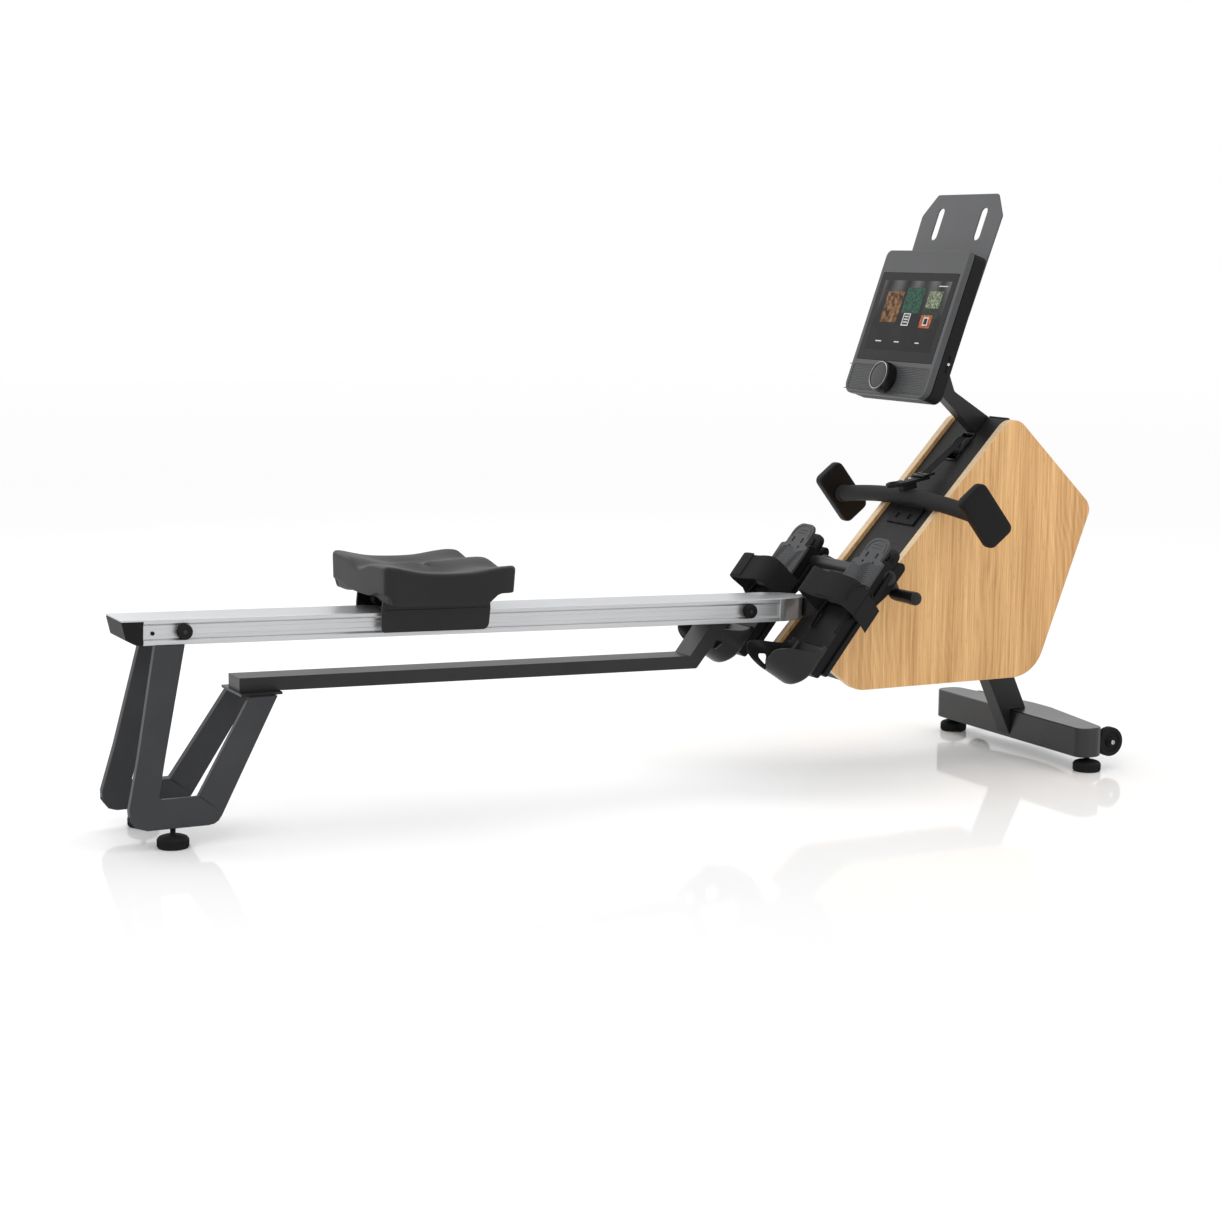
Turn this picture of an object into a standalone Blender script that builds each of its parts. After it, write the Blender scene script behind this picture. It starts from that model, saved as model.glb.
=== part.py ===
import math

import bmesh
import bpy
from mathutils import Matrix, Vector

# Rowing machine. Metres, +X towards the drive housing, +Y the rower's left, +Z up.
# Lengths along X are counted from the rail's rear end and shifted once at the end,
# so that the origin is the middle of the footprint on the floor.

overallMiddleX = 0.93964
gap = 0.0003
arcSteps = 5

railTopZ = 0.3825
railFall = math.radians(1.5)
railLength = 1.235
railHalfWidth = 0.0485
railHeight = 0.0435
stopX = (0.069, 1.167)
stopRadius = 0.0135
noseLength = 0.070

legTilt = math.radians(8.7)
legThickness = 0.016
footRadius = 0.0275
rearFoot = (0.032, 0.0880)
frontFoot = (1.8345, 0.2267)

beamHalfWidth = 0.030
baseRearX = 1.800
baseHalfLength = 0.250
baseBottomZ = 0.0305
baseTopZ = 0.0885
wheelCentre = (1.893, 0.218, 0.052)
wheelRadius = 0.029

panelInnerY = 0.082
panelThickness = 0.018
panelCorners = [(1.298, 0.230), (1.376, 0.171), (1.795, 0.171), (1.922, 0.506), (1.726, 0.696)]
panelRadii = [0.012, 0.060, 0.075, 0.030, 0.035]
slopeAngle = math.atan2(0.696 - 0.230, 1.726 - 1.298)
coverInset = 0.008
coverWall = 0.003
plateY = 0.066
plateThickness = 0.003

flywheelCentre = (1.700, 0.360)
flywheelRadius = 0.125
driveCentre = (1.530, 0.300)
driveRadius = 0.095
smallPulleyRadius = 0.022
spoolRadius = 0.030
guideCentre = (1.684, 0.621)
guideRadius = 0.018
brakePivot = (1.7402, 0.5003)

pedalAngle = math.radians(52.0)
pedalHeel = (1.216, 0.2335)
pedalY = 0.1345
crossbarU = 0.240
crossbarN = -0.042
crossbarRadius = 0.014

handleTube = 0.0160
handleEndY = 0.2382
handleHalfSpan = 0.2494
handleU = 0.389
handleN = 0.0185

consoleBottom = (1.484, 0.728)
consoleAngle = math.atan2(1.007 - 0.728, 1.583 - 1.484)
consoleHeight = 0.296
consoleHalfWidth = 0.143
consoleDepth = 0.042
hingeU = 0.118
hingeN = -0.066

seatX = (0.397, 0.645)
seatHalfWidth = 0.145
rollerRadius = 0.0125

finishes = {
    "aluminium": ((0.78, 0.79, 0.80, 1), 0.32, 1.0),
    "black_paint": ((0.025, 0.026, 0.028, 1), 0.45, 0.6),
    "grey_paint": ((0.065, 0.068, 0.073, 1), 0.5, 0.6),
    "black_plastic": ((0.018, 0.018, 0.020, 1), 0.5, 0.0),
    "grey_plastic": ((0.12, 0.12, 0.13, 1), 0.55, 0.0),
    "rubber": ((0.015, 0.015, 0.016, 1), 0.8, 0.0),
    "wood": ((0.62, 0.40, 0.21, 1), 0.5, 0.0),
    "steel": ((0.55, 0.56, 0.58, 1), 0.3, 1.0),
    "iron": ((0.20, 0.20, 0.21, 1), 0.5, 0.9),
    "webbing": ((0.02, 0.02, 0.022, 1), 0.9, 0.0),
    "glass": ((0.01, 0.01, 0.012, 1), 0.06, 0.0),
    "board": ((0.02, 0.16, 0.07, 1), 0.5, 0.0),
}

for old in list(bpy.data.objects):
    bpy.data.objects.remove(old, do_unlink=True)

partSet = bpy.data.collections.new("rowing_machine")
cutterSet = bpy.data.collections.new("cutters")
bpy.context.scene.collection.children.link(partSet)
bpy.context.scene.collection.children.link(cutterSet)


def frameOf(x, z, angle):
    """A working frame: its X axis rises by the angle in the XZ plane, its Y axis is the world's."""
    return Matrix.Translation((x, 0, z)) @ Matrix.Rotation(-angle, 4, "Y")


world = Matrix.Identity(4)
rail = frameOf(0.0, railTopZ, -railFall)
slope = frameOf(panelCorners[0][0], panelCorners[0][1], slopeAngle)
pedal = frameOf(pedalHeel[0], pedalHeel[1], pedalAngle)
console = frameOf(consoleBottom[0], consoleBottom[1], consoleAngle)
paddle = frameOf(1.5550, 0.5155, math.atan2(-0.787, 0.617))


def settle(obj, frame, origin):
    """Puts the mesh, drawn in the frame's own coordinates, into the world with its origin at a point."""
    shift = Matrix.Translation(-Vector(origin))
    obj.data.transform(shift)
    obj.matrix_world = frame @ Matrix.Translation(origin)
    return obj


def newObject(name, mesh, collection=partSet):
    obj = bpy.data.objects.new(name, mesh)
    collection.objects.link(obj)
    return obj


def baked(obj):
    """Replaces an object by a plain mesh of what its modifiers or curve make."""
    bpy.context.view_layer.update()
    graph = bpy.context.evaluated_depsgraph_get()
    mesh = bpy.data.meshes.new_from_object(obj.evaluated_get(graph))
    matrix = obj.matrix_world.copy()
    name = obj.name
    home = obj.users_collection[0]
    bpy.data.objects.remove(obj, do_unlink=True)
    bm = bmesh.new()
    bm.from_mesh(mesh)
    bmesh.ops.remove_doubles(bm, verts=bm.verts, dist=0.00002)
    bmesh.ops.recalc_face_normals(bm, faces=bm.faces)
    bm.to_mesh(mesh)
    bm.free()
    fresh = newObject(name, mesh, home)
    fresh.matrix_world = matrix
    mesh.name = name
    return fresh


def bevelled(obj, width, segments=2):
    modifier = obj.modifiers.new("bevel", "BEVEL")
    modifier.width = width
    modifier.segments = segments
    modifier.limit_method = "ANGLE"
    modifier.angle_limit = math.radians(35)
    return baked(obj)


def box(name, low, high, frame=world, origin=None, bevel=0.0, segments=2, collection=partSet):
    mesh = bpy.data.meshes.new(name)
    bm = bmesh.new()
    bmesh.ops.create_cube(bm, size=1.0)
    size = [high[i] - low[i] for i in range(3)]
    middle = [(high[i] + low[i]) / 2 for i in range(3)]
    bmesh.ops.scale(bm, verts=bm.verts, vec=size)
    bmesh.ops.translate(bm, verts=bm.verts, vec=middle)
    bm.to_mesh(mesh)
    bm.free()
    obj = newObject(name, mesh, collection)
    settle(obj, frame, origin if origin else middle)
    return bevelled(obj, bevel, segments) if bevel else obj


def roundedOutline(corners, radii, steps=arcSteps):
    """Rounds each corner of a closed outline with an arc of its own radius."""
    points = []
    count = len(corners)
    for i in range(count):
        here = Vector(corners[i])
        before = (Vector(corners[i - 1]) - here)
        after = (Vector(corners[(i + 1) % count]) - here)
        radius = radii[i]
        if radius <= 0:
            points.append(tuple(here))
            continue
        a = before.normalized()
        b = after.normalized()
        half = math.acos(max(-1.0, min(1.0, a.dot(b)))) / 2
        reach = min(radius / math.tan(half), before.length * 0.49, after.length * 0.49)
        radius = reach * math.tan(half)
        centre = here + (a + b).normalized() * (radius / math.sin(half))
        start = here + a * reach - centre
        end = here + b * reach - centre
        sweep = start.angle(end)
        for k in range(steps + 1):
            t = k / steps
            weightA = math.sin((1 - t) * sweep) / math.sin(sweep)
            weightB = math.sin(t * sweep) / math.sin(sweep)
            points.append(tuple(centre + start * weightA + end * weightB))
    return points


def insetOutline(corners, distance):
    """Moves every edge of a closed outline, drawn counter-clockwise, inwards by a distance."""
    moved = []
    count = len(corners)
    for i in range(count):
        a = Vector(corners[i - 1])
        b = Vector(corners[i])
        c = Vector(corners[(i + 1) % count])
        first = (b - a).normalized()
        second = (c - b).normalized()
        n1 = Vector((-first.y, first.x))
        n2 = Vector((-second.y, second.x))
        bisector = (n1 + n2).normalized()
        moved.append(tuple(b + bisector * (distance / bisector.dot(n1))))
    return moved


axisTurns = {
    "Y": Matrix.Rotation(math.radians(90), 4, "X"),
    "X": Matrix.Rotation(math.radians(90), 4, "Z") @ Matrix.Rotation(math.radians(90), 4, "X"),
    "Z": Matrix.Identity(4),
}


def flat(name, outlines, low, high, axis="Y", frame=world, origin=(0, 0, 0), bevel=0.0, segments=1,
         collection=partSet):
    """Extrudes closed outlines. Axis Y takes (x, z) outlines, Z takes (x, y) and X takes (y, z)."""
    curve = bpy.data.curves.new(name, "CURVE")
    curve.dimensions = "2D"
    curve.fill_mode = "BOTH"
    curve.extrude = (high - low) / 2
    for outline in outlines:
        spline = curve.splines.new("POLY")
        spline.points.add(len(outline) - 1)
        for point, place in zip(spline.points, outline):
            point.co = (place[0], place[1], 0, 1)
        spline.use_cyclic_u = True
    obj = newObject(name, curve, collection)
    obj = baked(obj)
    middle = (high + low) / 2
    shift = {"Y": (0, middle, 0), "X": (middle, 0, 0), "Z": (0, 0, middle)}[axis]
    obj.data.transform(Matrix.Translation(shift) @ axisTurns[axis])
    settle(obj, frame, origin)
    return bevelled(obj, bevel, segments) if bevel else obj


def turned(name, profile, centre, axis="Y", frame=world, steps=24, collection=partSet, ring=False):
    """Turns a profile of (radius, height) pairs, top to bottom, about an axis through the centre."""
    mesh = bpy.data.meshes.new(name)
    bm = bmesh.new()
    rows = [bm.verts.new((r, 0, h)) for r, h in profile]
    for a, b in zip(rows, rows[1:]):
        bm.edges.new((a, b))
    if ring:
        bm.edges.new((rows[-1], rows[0]))
    bm.to_mesh(mesh)
    bm.free()
    obj = newObject(name, mesh, collection)
    screw = obj.modifiers.new("screw", "SCREW")
    screw.angle = math.tau
    screw.steps = steps
    screw.render_steps = steps
    screw.use_merge_vertices = True
    screw.merge_threshold = 0.0001
    screw.use_smooth_shade = True
    obj = baked(obj)
    turns = {
        "Z": Matrix.Identity(4),
        "Y": Matrix.Rotation(math.radians(-90), 4, "X"),
        "X": Matrix.Rotation(math.radians(90), 4, "Y"),
    }
    obj.data.transform(Matrix.Translation(centre) @ turns[axis])
    settle(obj, frame, centre)
    return obj


def rod(name, radius, start, end, axis="Y", frame=world, steps=24, collection=partSet):
    """A plain cylinder along an axis of the frame, from one point to another."""
    reach = {"X": 0, "Y": 1, "Z": 2}[axis]
    half = (end[reach] - start[reach]) / 2
    middle = tuple((a + b) / 2 for a, b in zip(start, end))
    profile = [(0, half), (radius, half), (radius, -half), (0, -half)]
    return turned(name, profile, middle, axis, frame, steps, collection)


def tube(name, points, radius, frame=world, origin=(0, 0, 0), resolution=4, collection=partSet):
    curve = bpy.data.curves.new(name, "CURVE")
    curve.dimensions = "3D"
    curve.bevel_depth = radius
    curve.bevel_resolution = resolution
    curve.use_fill_caps = True
    spline = curve.splines.new("POLY")
    spline.points.add(len(points) - 1)
    for point, place in zip(spline.points, points):
        point.co = (place[0], place[1], place[2], 1)
    obj = baked(newObject(name, curve, collection))
    return settle(obj, frame, origin)


def combine(target, tool, operation):
    modifier = target.modifiers.new(operation.lower(), "BOOLEAN")
    modifier.operation = operation
    modifier.solver = "EXACT"
    modifier.object = tool
    fresh = baked(target)
    bpy.data.objects.remove(tool, do_unlink=True)
    return fresh


def without(target, *tools):
    for tool in tools:
        target = combine(target, tool, "DIFFERENCE")
    return target


def joined(target, *tools):
    for tool in tools:
        target = combine(target, tool, "UNION")
    return target


def painted(obj, finish, smooth=False):
    colour, roughness, metallic = finishes[finish]
    material = bpy.data.materials.new(obj.name)
    material.use_nodes = True
    shader = material.node_tree.nodes["Principled BSDF"]
    shader.inputs["Base Color"].default_value = colour
    shader.inputs["Roughness"].default_value = roughness
    shader.inputs["Metallic"].default_value = metallic
    obj.data.materials.clear()
    obj.data.materials.append(material)
    for polygon in obj.data.polygons:
        polygon.use_smooth = smooth
    return obj


def cutBox(low, high, frame=world):
    return box("cutter", low, high, frame, collection=cutterSet)


def cutRod(radius, start, end, axis="Y", frame=world, steps=20):
    return rod("cutter", radius, start, end, axis, frame, steps, collection=cutterSet)


sides = {"l": 1, "r": -1}


def ordered(a, b):
    return (min(a, b), max(a, b))


# Rail, its end pieces and the seat's stops.
halfProfile = [(railHalfWidth, 0), (railHalfWidth, -0.0075), (0.0435, -0.0100), (0.0435, -0.0335),
               (railHalfWidth, -0.0355), (railHalfWidth, -railHeight)]
outer = halfProfile + [(-y, z) for y, z in reversed(halfProfile)]
inner = [(0.0395, -0.0040), (0.0395, -0.0395), (-0.0395, -0.0395), (-0.0395, -0.0040)]
railBar = flat("rail", [outer, inner], 0, railLength, "X", rail)
railBar = joined(railBar, box("cutter", (-0.038, -railHalfWidth, -0.003), (0.001, railHalfWidth, 0), rail,
                             collection=cutterSet))
for x in stopX:
    railBar = without(railBar, cutRod(0.0043, (x, -0.06, -0.021), (x, 0.06, -0.021), frame=rail))
railBar = without(railBar, cutRod(0.003, (0.006, -0.06, -0.0255), (0.006, 0.06, -0.0255), frame=rail, steps=12))
painted(railBar, "aluminium")

capSide = [(-gap, -0.003 - gap), (-0.038, -0.003 - gap), (-0.030, -0.034), (-0.013, -0.0425), (-gap, -railHeight)]
endCap = flat("rail_end_cap", [capSide], -railHalfWidth, railHalfWidth, "Y", rail, (0, 0, -0.02), 0.0012)
endCap = joined(endCap, box("cutter", (-0.006, -0.039, -0.039), (0.022, 0.039, -0.0045), rail, collection=cutterSet))
endCap = without(endCap, cutRod(0.0026, (0.006, -0.06, -0.0255), (0.006, 0.06, -0.0255), frame=rail, steps=12))
painted(endCap, "black_plastic")

noseStart = railLength + gap
nosePlan = [(noseStart, -railHalfWidth), (noseStart + 0.012, -railHalfWidth), (railLength + 0.052, -0.036),
            (railLength + noseLength, -0.016), (railLength + noseLength, 0.016), (railLength + 0.052, 0.036),
            (noseStart + 0.012, railHalfWidth), (noseStart, railHalfWidth)]
noseRadii = [0, 0.02, 0.02, 0.008, 0.008, 0.02, 0.02, 0]
nose = flat("rail_nose", [roundedOutline(nosePlan, noseRadii, 3)], -railHeight, 0, "Z", rail, (railLength, 0, 0))
nose = joined(nose, box("cutter", (railLength - 0.025, -0.039, -0.039), (railLength + 0.005, 0.039, -0.0045), rail,
                       collection=cutterSet))
painted(nose, "aluminium")

for end, x in zip(("rear", "front"), stopX):
    for side, s in sides.items():
        profile = [(0, 0.0175), (0.0085, 0.0175), (stopRadius, 0.0150), (stopRadius, 0.0055), (0.0108, 0.0055),
                   (0.0108, gap), (0.0039, gap), (0.0039, -0.006), (0, -0.006)]
        if s < 0:
            profile = [(r, -h) for r, h in reversed(profile)]
        stop = turned(f"stop_{end}_{side}", profile, (x, s * 0.0435, -0.021), "Y", rail, 20)
        painted(stop, "rubber", True)

# Rear legs: one V-shaped frame on each side, leaning outwards, under the rail and the beam.
legCorners = [(0.020, 0.346), (-0.022, 0.152), (-0.052, 0.033), (0.108, 0.033), (0.234, 0.2510), (0.184, 0.2510),
              (0.078, 0.083), (0.0085, 0.083), (0.024, 0.150), (0.072, 0.346)]
legRadii = [0, 0.02, 0.030, 0.026, 0, 0, 0.003, 0.005, 0.02, 0]
for side, s in sides.items():
    tilt = Matrix.Translation((0, s * 0.0895, 0.033)) @ Matrix.Rotation(s * legTilt, 4, "X")
    drawn = [(x, (z - 0.033) / math.cos(legTilt)) for x, z in legCorners]
    leg = flat(f"rear_leg_{side}", [roundedOutline(drawn, legRadii, 3)], -legThickness / 2, legThickness / 2, "Y",
               tilt, (0.03, 0, 0), 0.0012)
    leg = without(leg, flat("cutter", [insetOutline(drawn, 0.0035)], -0.0050, 0.0050, "Y", tilt,
                            collection=cutterSet))
    leg = without(leg, cutBox((-0.1, -0.15, -railHeight - gap), (0.14, 0.15, 0.05), rail))
    leg = without(leg, cutBox((0.13, -0.15, 0.2405), (0.30, 0.15, 0.30)))
    leg = without(leg, cutBox((-0.1, -0.15, -0.02), (0.2, 0.15, 0.033)))
    leg = without(leg, cutRod(0.0053, (rearFoot[0], s * rearFoot[1], 0.0), (rearFoot[0], s * rearFoot[1], 0.0445),
                              "Z", steps=16))
    painted(leg, "grey_paint")

# Lower beam: a rectangular tube under the rail that turns up to the rail's underside.
beamSide = [(0.171, 0.2447), (1.066, 0.2250), (1.1325, 0.3075), (1.0975, 0.3084), (1.052, 0.2495), (0.171, 0.2692)]
beam = flat("lower_beam", [roundedOutline(beamSide, [0, 0.006, 0, 0, 0.003, 0], 3)], -beamHalfWidth, beamHalfWidth,
            "Y", world, (0.6, 0, 0.247), 0.0015)
hollow = insetOutline(beamSide, 0.0025)
beam = without(beam, flat("cutter", [hollow], -beamHalfWidth + 0.0025, beamHalfWidth - 0.0025, "Y",
                          collection=cutterSet))
beam = without(beam, cutRod(0.004, (0.30, 0, 0.235), (0.30, 0, 0.250), "Z", steps=12))
beam = joined(beam, box("cutter", (0.166, -0.054, 0.2407), (0.240, 0.054, 0.2452), collection=cutterSet))
beam = without(beam, cutBox((1.05, -0.1, -railHeight - gap), (1.2, 0.1, 0.02), rail))
painted(beam, "black_paint")

# Front base, strut, levelling feet and transport wheels.
basePlan = [(baseRearX, -baseHalfLength), (1.856, -baseHalfLength), (1.894, -0.030), (1.894, 0.030),
            (1.856, baseHalfLength), (baseRearX, baseHalfLength)]
baseRadii = [0.022, 0.024, 0.05, 0.05, 0.024, 0.022]
base = flat("front_base", [roundedOutline(basePlan, baseRadii)], baseBottomZ, baseTopZ, "Z", world,
            (1.84, 0, 0.06), 0.0015)
base = without(base, flat("cutter", [roundedOutline(insetOutline(basePlan, 0.003), baseRadii, 3)],
                          baseBottomZ + 0.003, baseTopZ - 0.003, "Z", collection=cutterSet))
for side, s in sides.items():
    y0, y1 = ordered(s * 0.2040, s * 0.2078)
    base = joined(base, box("cutter", (1.850, y0, 0.036), (1.903, y1, 0.068), collection=cutterSet))
    y0, y1 = ordered(s * 0.2060, s * 0.2290)
    base = joined(base, cutRod(0.0040, (wheelCentre[0], y0, wheelCentre[2]), (wheelCentre[0], y1, wheelCentre[2]),
                              steps=16))
    base = without(base, cutRod(0.0053, (frontFoot[0], s * frontFoot[1], 0.01), (frontFoot[0], s * frontFoot[1], 0.05),
                                "Z", steps=16))
painted(base, "black_paint")

strutSide = [(1.7995, 0.0365), (1.7997, baseTopZ + gap), (1.838, baseTopZ + gap), (1.7745, 0.2250), (1.7115, 0.2250)]
strut = flat("strut", [strutSide], -0.0195, 0.0195, "Y", world, (1.76, 0, 0.15), 0.0010)
strut = without(strut, flat("cutter", [[(1.7735, 0.100), (1.8290, 0.100), (1.7700, 0.227), (1.7140, 0.227)]],
                            -0.0170, 0.0170, "Y", collection=cutterSet))
strut = joined(strut, box("cutter", (1.705, -plateY + gap, 0.224), (1.785, plateY - gap, 0.232),
                         collection=cutterSet))
strut = without(strut, cutRod(0.006, (1.742, 0, 0.210), (1.742, 0, 0.240), "Z", steps=12))
painted(strut, "black_paint")

footSpots = {"rear": rearFoot, "front": frontFoot}
for end, spot in footSpots.items():
    for side, s in sides.items():
        top = 0.043 if end == "rear" else 0.038
        profile = [(0, top), (0.005, top), (0.005, 0.0165), (0.017, 0.0150), (footRadius, 0.0105), (footRadius, 0.0015),
                   (footRadius - 0.0015, 0), (0, 0)]
        foot = turned(f"foot_{end}_{side}", profile, (spot[0], s * spot[1], 0), "Z")
        painted(foot, "rubber", True)

for side, s in sides.items():
    profile = [(0.0043, 0.0085), (0.010, 0.0085), (0.012, 0.006), (0.022, 0.006), (0.024, 0.0085),
               (wheelRadius - 0.002, 0.0085), (wheelRadius, 0.0065), (wheelRadius, -0.0065),
               (wheelRadius - 0.002, -0.0085), (0.0043, -0.0085)]
    wheel = turned(f"wheel_{side}", profile, (wheelCentre[0], s * wheelCentre[1], wheelCentre[2]), "Y", ring=True)
    painted(wheel, "rubber", True)

# Drive housing: wooden side panels, black cover and the steel side plates that carry the drive.
panelOutline = roundedOutline(panelCorners, panelRadii, 8)
for side, s in sides.items():
    low, high = ordered(s * panelInnerY, s * (panelInnerY + panelThickness))
    panel = flat(f"side_panel_{side}", [panelOutline], low, high, "Y", world, (1.62, s * 0.09, 0.40), 0.0015)
    painted(panel, "wood")

coverOuter = insetOutline(panelCorners, coverInset)
coverInner = insetOutline(panelCorners, coverInset + coverWall)
coverY = panelInnerY - gap
coverRadii = [0.001, 0.052, 0.067, 0.022, 0.001]
slopeLength = (Vector(panelCorners[4]) - Vector(panelCorners[0])).length
strapU = 0.5415

slopeCover = box("slope_cover", (0.010, -coverY, -coverInset - coverWall), (slopeLength - 0.012, coverY, -coverInset),
                 slope)
slopeCover = without(slopeCover, cutBox((0.510, -0.0178, -0.03), (0.574, 0.0178, 0.03), slope))
slopeCover = without(slopeCover, cutBox((0.5780, -0.0165, -0.03), (0.700, 0.0165, 0.03), slope))
slopeCover = without(slopeCover, cutBox((0.096, -0.0310, -0.03), (0.170, 0.0310, 0.03), slope))
for side, s in sides.items():
    y0, y1 = ordered(s * 0.0655, s * 0.0697)
    slopeCover = without(slopeCover, cutBox((0.150, y0, -0.03), (0.232, y1, 0.03), slope))
painted(slopeCover, "black_plastic")

outerRing = roundedOutline(coverOuter, coverRadii, 8)
innerRing = roundedOutline(coverInner, [max(r - coverWall, 0.0005) for r in coverRadii], 8)
backCover = flat("back_cover", [outerRing, innerRing], -coverY, coverY, "Y", world, (1.62, 0, 0.40))
backCover = without(backCover, cutBox((-0.05, -0.1, -0.020), (slopeLength - 0.011, 0.1, 0.03), slope))
backCover = without(backCover, cutBox((1.705, -0.0205, 0.165), (1.830, 0.0205, 0.200)))
backCover = without(backCover, cutBox((1.722, -0.0185, 0.62), (1.764, 0.0185, 0.72)))
painted(backCover, "black_plastic")

crossbar = pedal @ Vector((crossbarU, 0, crossbarN))
plateCorners = [(1.352, 0.262), (1.400, 0.192), (1.782, 0.192), (1.896, 0.500), (1.724, 0.668)]
plateBody = roundedOutline(plateCorners, [0.01, 0.04, 0.05, 0.02, 0.02], 4)
for side, s in sides.items():
    low, high = ordered(s * plateY, s * (plateY + plateThickness))
    plate = flat(f"frame_plate_{side}", [plateBody], low, high, "Y", world, (1.62, s * plateY, 0.40))
    lug = [(crossbar.x - 0.019, crossbar.z - 0.002), (crossbar.x + 0.035, crossbar.z - 0.052),
           (crossbar.x + 0.075, crossbar.z - 0.015), (crossbar.x + 0.006, crossbar.z + 0.019)]
    plate = joined(plate, flat("cutter", [roundedOutline(lug, [0.016, 0, 0, 0.016], 4)], low, high, "Y",
                              collection=cutterSet))
    for spot, radius in (((crossbar.x, crossbar.z), crossbarRadius + gap), (flywheelCentre, 0.0083),
                         (driveCentre, 0.0063), (guideCentre, 0.0043), (brakePivot, 0.0033)):
        if side == "r" or spot != guideCentre:
            plate = without(plate, cutRod(radius, (spot[0], -0.1, spot[1]), (spot[0], 0.1, spot[1]), steps=16))
    if side == "l":
        plate = joined(plate, cutRod(0.0040, (guideCentre[0], -0.0685, guideCentre[1]),
                                    (guideCentre[0], 0.0670, guideCentre[1]), steps=16))
    painted(plate, "steel")

neckTop = -0.0035
neck = box("neck", (railLength + noseLength + gap, -0.028, -0.0395), (1.4285, 0.028, neckTop), rail, bevel=0.0015)
neck = joined(neck, box("cutter", (1.4055, -plateY + gap, -0.0400), (1.4280, plateY - gap, -0.0215), rail,
                       collection=cutterSet))
painted(neck, "black_paint")

# Drive train: flywheel, pulleys, belt, strap spool, recoil cassette and eddy-current brake.
fx, fz = flywheelCentre
flyProfile = [(0.0105, -0.018), (0.026, -0.018), (0.030, -0.030), (0.090, -0.031), (0.096, -0.022),
              (flywheelRadius, -0.022), (flywheelRadius, -0.050), (0.096, -0.050), (0.090, -0.041), (0.030, -0.042),
              (0.026, -0.054), (0.0105, -0.054)]
flywheel = turned("flywheel", flyProfile, (fx, 0, fz), "Y", steps=48, ring=True)
painted(flywheel, "iron", True)
shaftProfile = [(0, 0.0640), (0.0080, 0.0640), (0.0080, 0.0375), (smallPulleyRadius, 0.0375),
                (smallPulleyRadius, 0.0215), (0.0102, 0.0205), (0.0102, -0.0560), (0.0080, -0.0570),
                (0.0080, -0.0640), (0, -0.0640)]
flyShaft = turned("flywheel_shaft", shaftProfile, (fx, 0, fz), "Y")
painted(flyShaft, "steel", True)

dx, dz = driveCentre
axleRod = rod("drive_axle", 0.0060, (dx, -0.0685, dz), (dx, 0.0685, dz))
painted(axleRod, "steel", True)
pulleyProfile = [(0.0063, 0.0400), (0.022, 0.0400), (0.024, 0.0330), (0.084, 0.0330), (0.086, 0.0375),
                 (driveRadius, 0.0375), (driveRadius, 0.0215), (0.086, 0.0215), (0.084, 0.0270), (0.024, 0.0270),
                 (0.022, 0.0200), (0.0063, 0.0200)]
pulley = turned("drive_pulley", pulleyProfile, (dx, 0, dz), "Y", steps=40, ring=True)
painted(pulley, "black_plastic", True)
spoolProfile = [(0.0063, 0.0180), (0.046, 0.0180), (0.046, 0.0155), (spoolRadius, 0.0145), (spoolRadius, -0.0145),
                (0.046, -0.0155), (0.046, -0.0180), (0.0063, -0.0180)]
spool = turned("strap_spool", spoolProfile, (dx, 0, dz), "Y", steps=28, ring=True)
painted(spool, "grey_plastic", True)
cassetteProfile = [(0.0070, -0.0200), (0.044, -0.0200), (0.046, -0.0220), (0.046, -0.0440), (0.044, -0.0460),
                   (0.0070, -0.0460)]
cassette = turned("recoil_cassette", cassetteProfile, (dx, 0, dz), "Y", steps=28, ring=True)
cassette = joined(cassette, box("cutter", (dx - 0.010, -plateY + gap, dz - 0.066), (dx + 0.010, -0.030, dz - 0.040),
                               collection=cutterSet))
painted(cassette, "grey_plastic")


def beltPath(a, ra, b, rb, steps):
    """The closed outline round two pulleys, as the outer tangents and the arcs between them."""
    ax, az = a
    bx, bz = b
    distance = math.hypot(bx - ax, bz - az)
    heading = math.atan2(bz - az, bx - ax)
    lean = math.acos((ra - rb) / distance)
    points = []
    for k in range(steps + 1):
        angle = heading + lean + (math.tau - 2 * lean) * k / steps
        points.append((ax + ra * math.cos(angle), az + ra * math.sin(angle)))
    for k in range(steps // 2 + 1):
        angle = heading - lean + 2 * lean * k / (steps // 2)
        points.append((bx + rb * math.cos(angle), bz + rb * math.sin(angle)))
    return points


outerBelt = beltPath(driveCentre, driveRadius + gap + 0.0025, flywheelCentre, smallPulleyRadius + gap + 0.0025, 40)
innerBelt = beltPath(driveCentre, driveRadius + gap, flywheelCentre, smallPulleyRadius + gap, 40)
belt = flat("drive_belt", [outerBelt, innerBelt], 0.0225, 0.0365)
painted(belt, "rubber")

gx, gz = guideCentre
guideProfile = [(0.0043, 0.0170), (guideRadius + 0.004, 0.0170), (guideRadius + 0.004, 0.0150), (guideRadius, 0.0142),
                (guideRadius, -0.0142), (guideRadius + 0.004, -0.0150), (guideRadius + 0.004, -0.0170),
                (0.0043, -0.0170)]
guide = turned("guide_pulley", guideProfile, (gx, 0, gz), "Y", ring=True)
painted(guide, "grey_plastic", True)


def arcPoints(centre, radius, start, end, steps):
    return [(centre[0] + radius * math.cos(start + (end - start) * k / steps),
             centre[1] + radius * math.sin(start + (end - start) * k / steps)) for k in range(steps + 1)]


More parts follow.
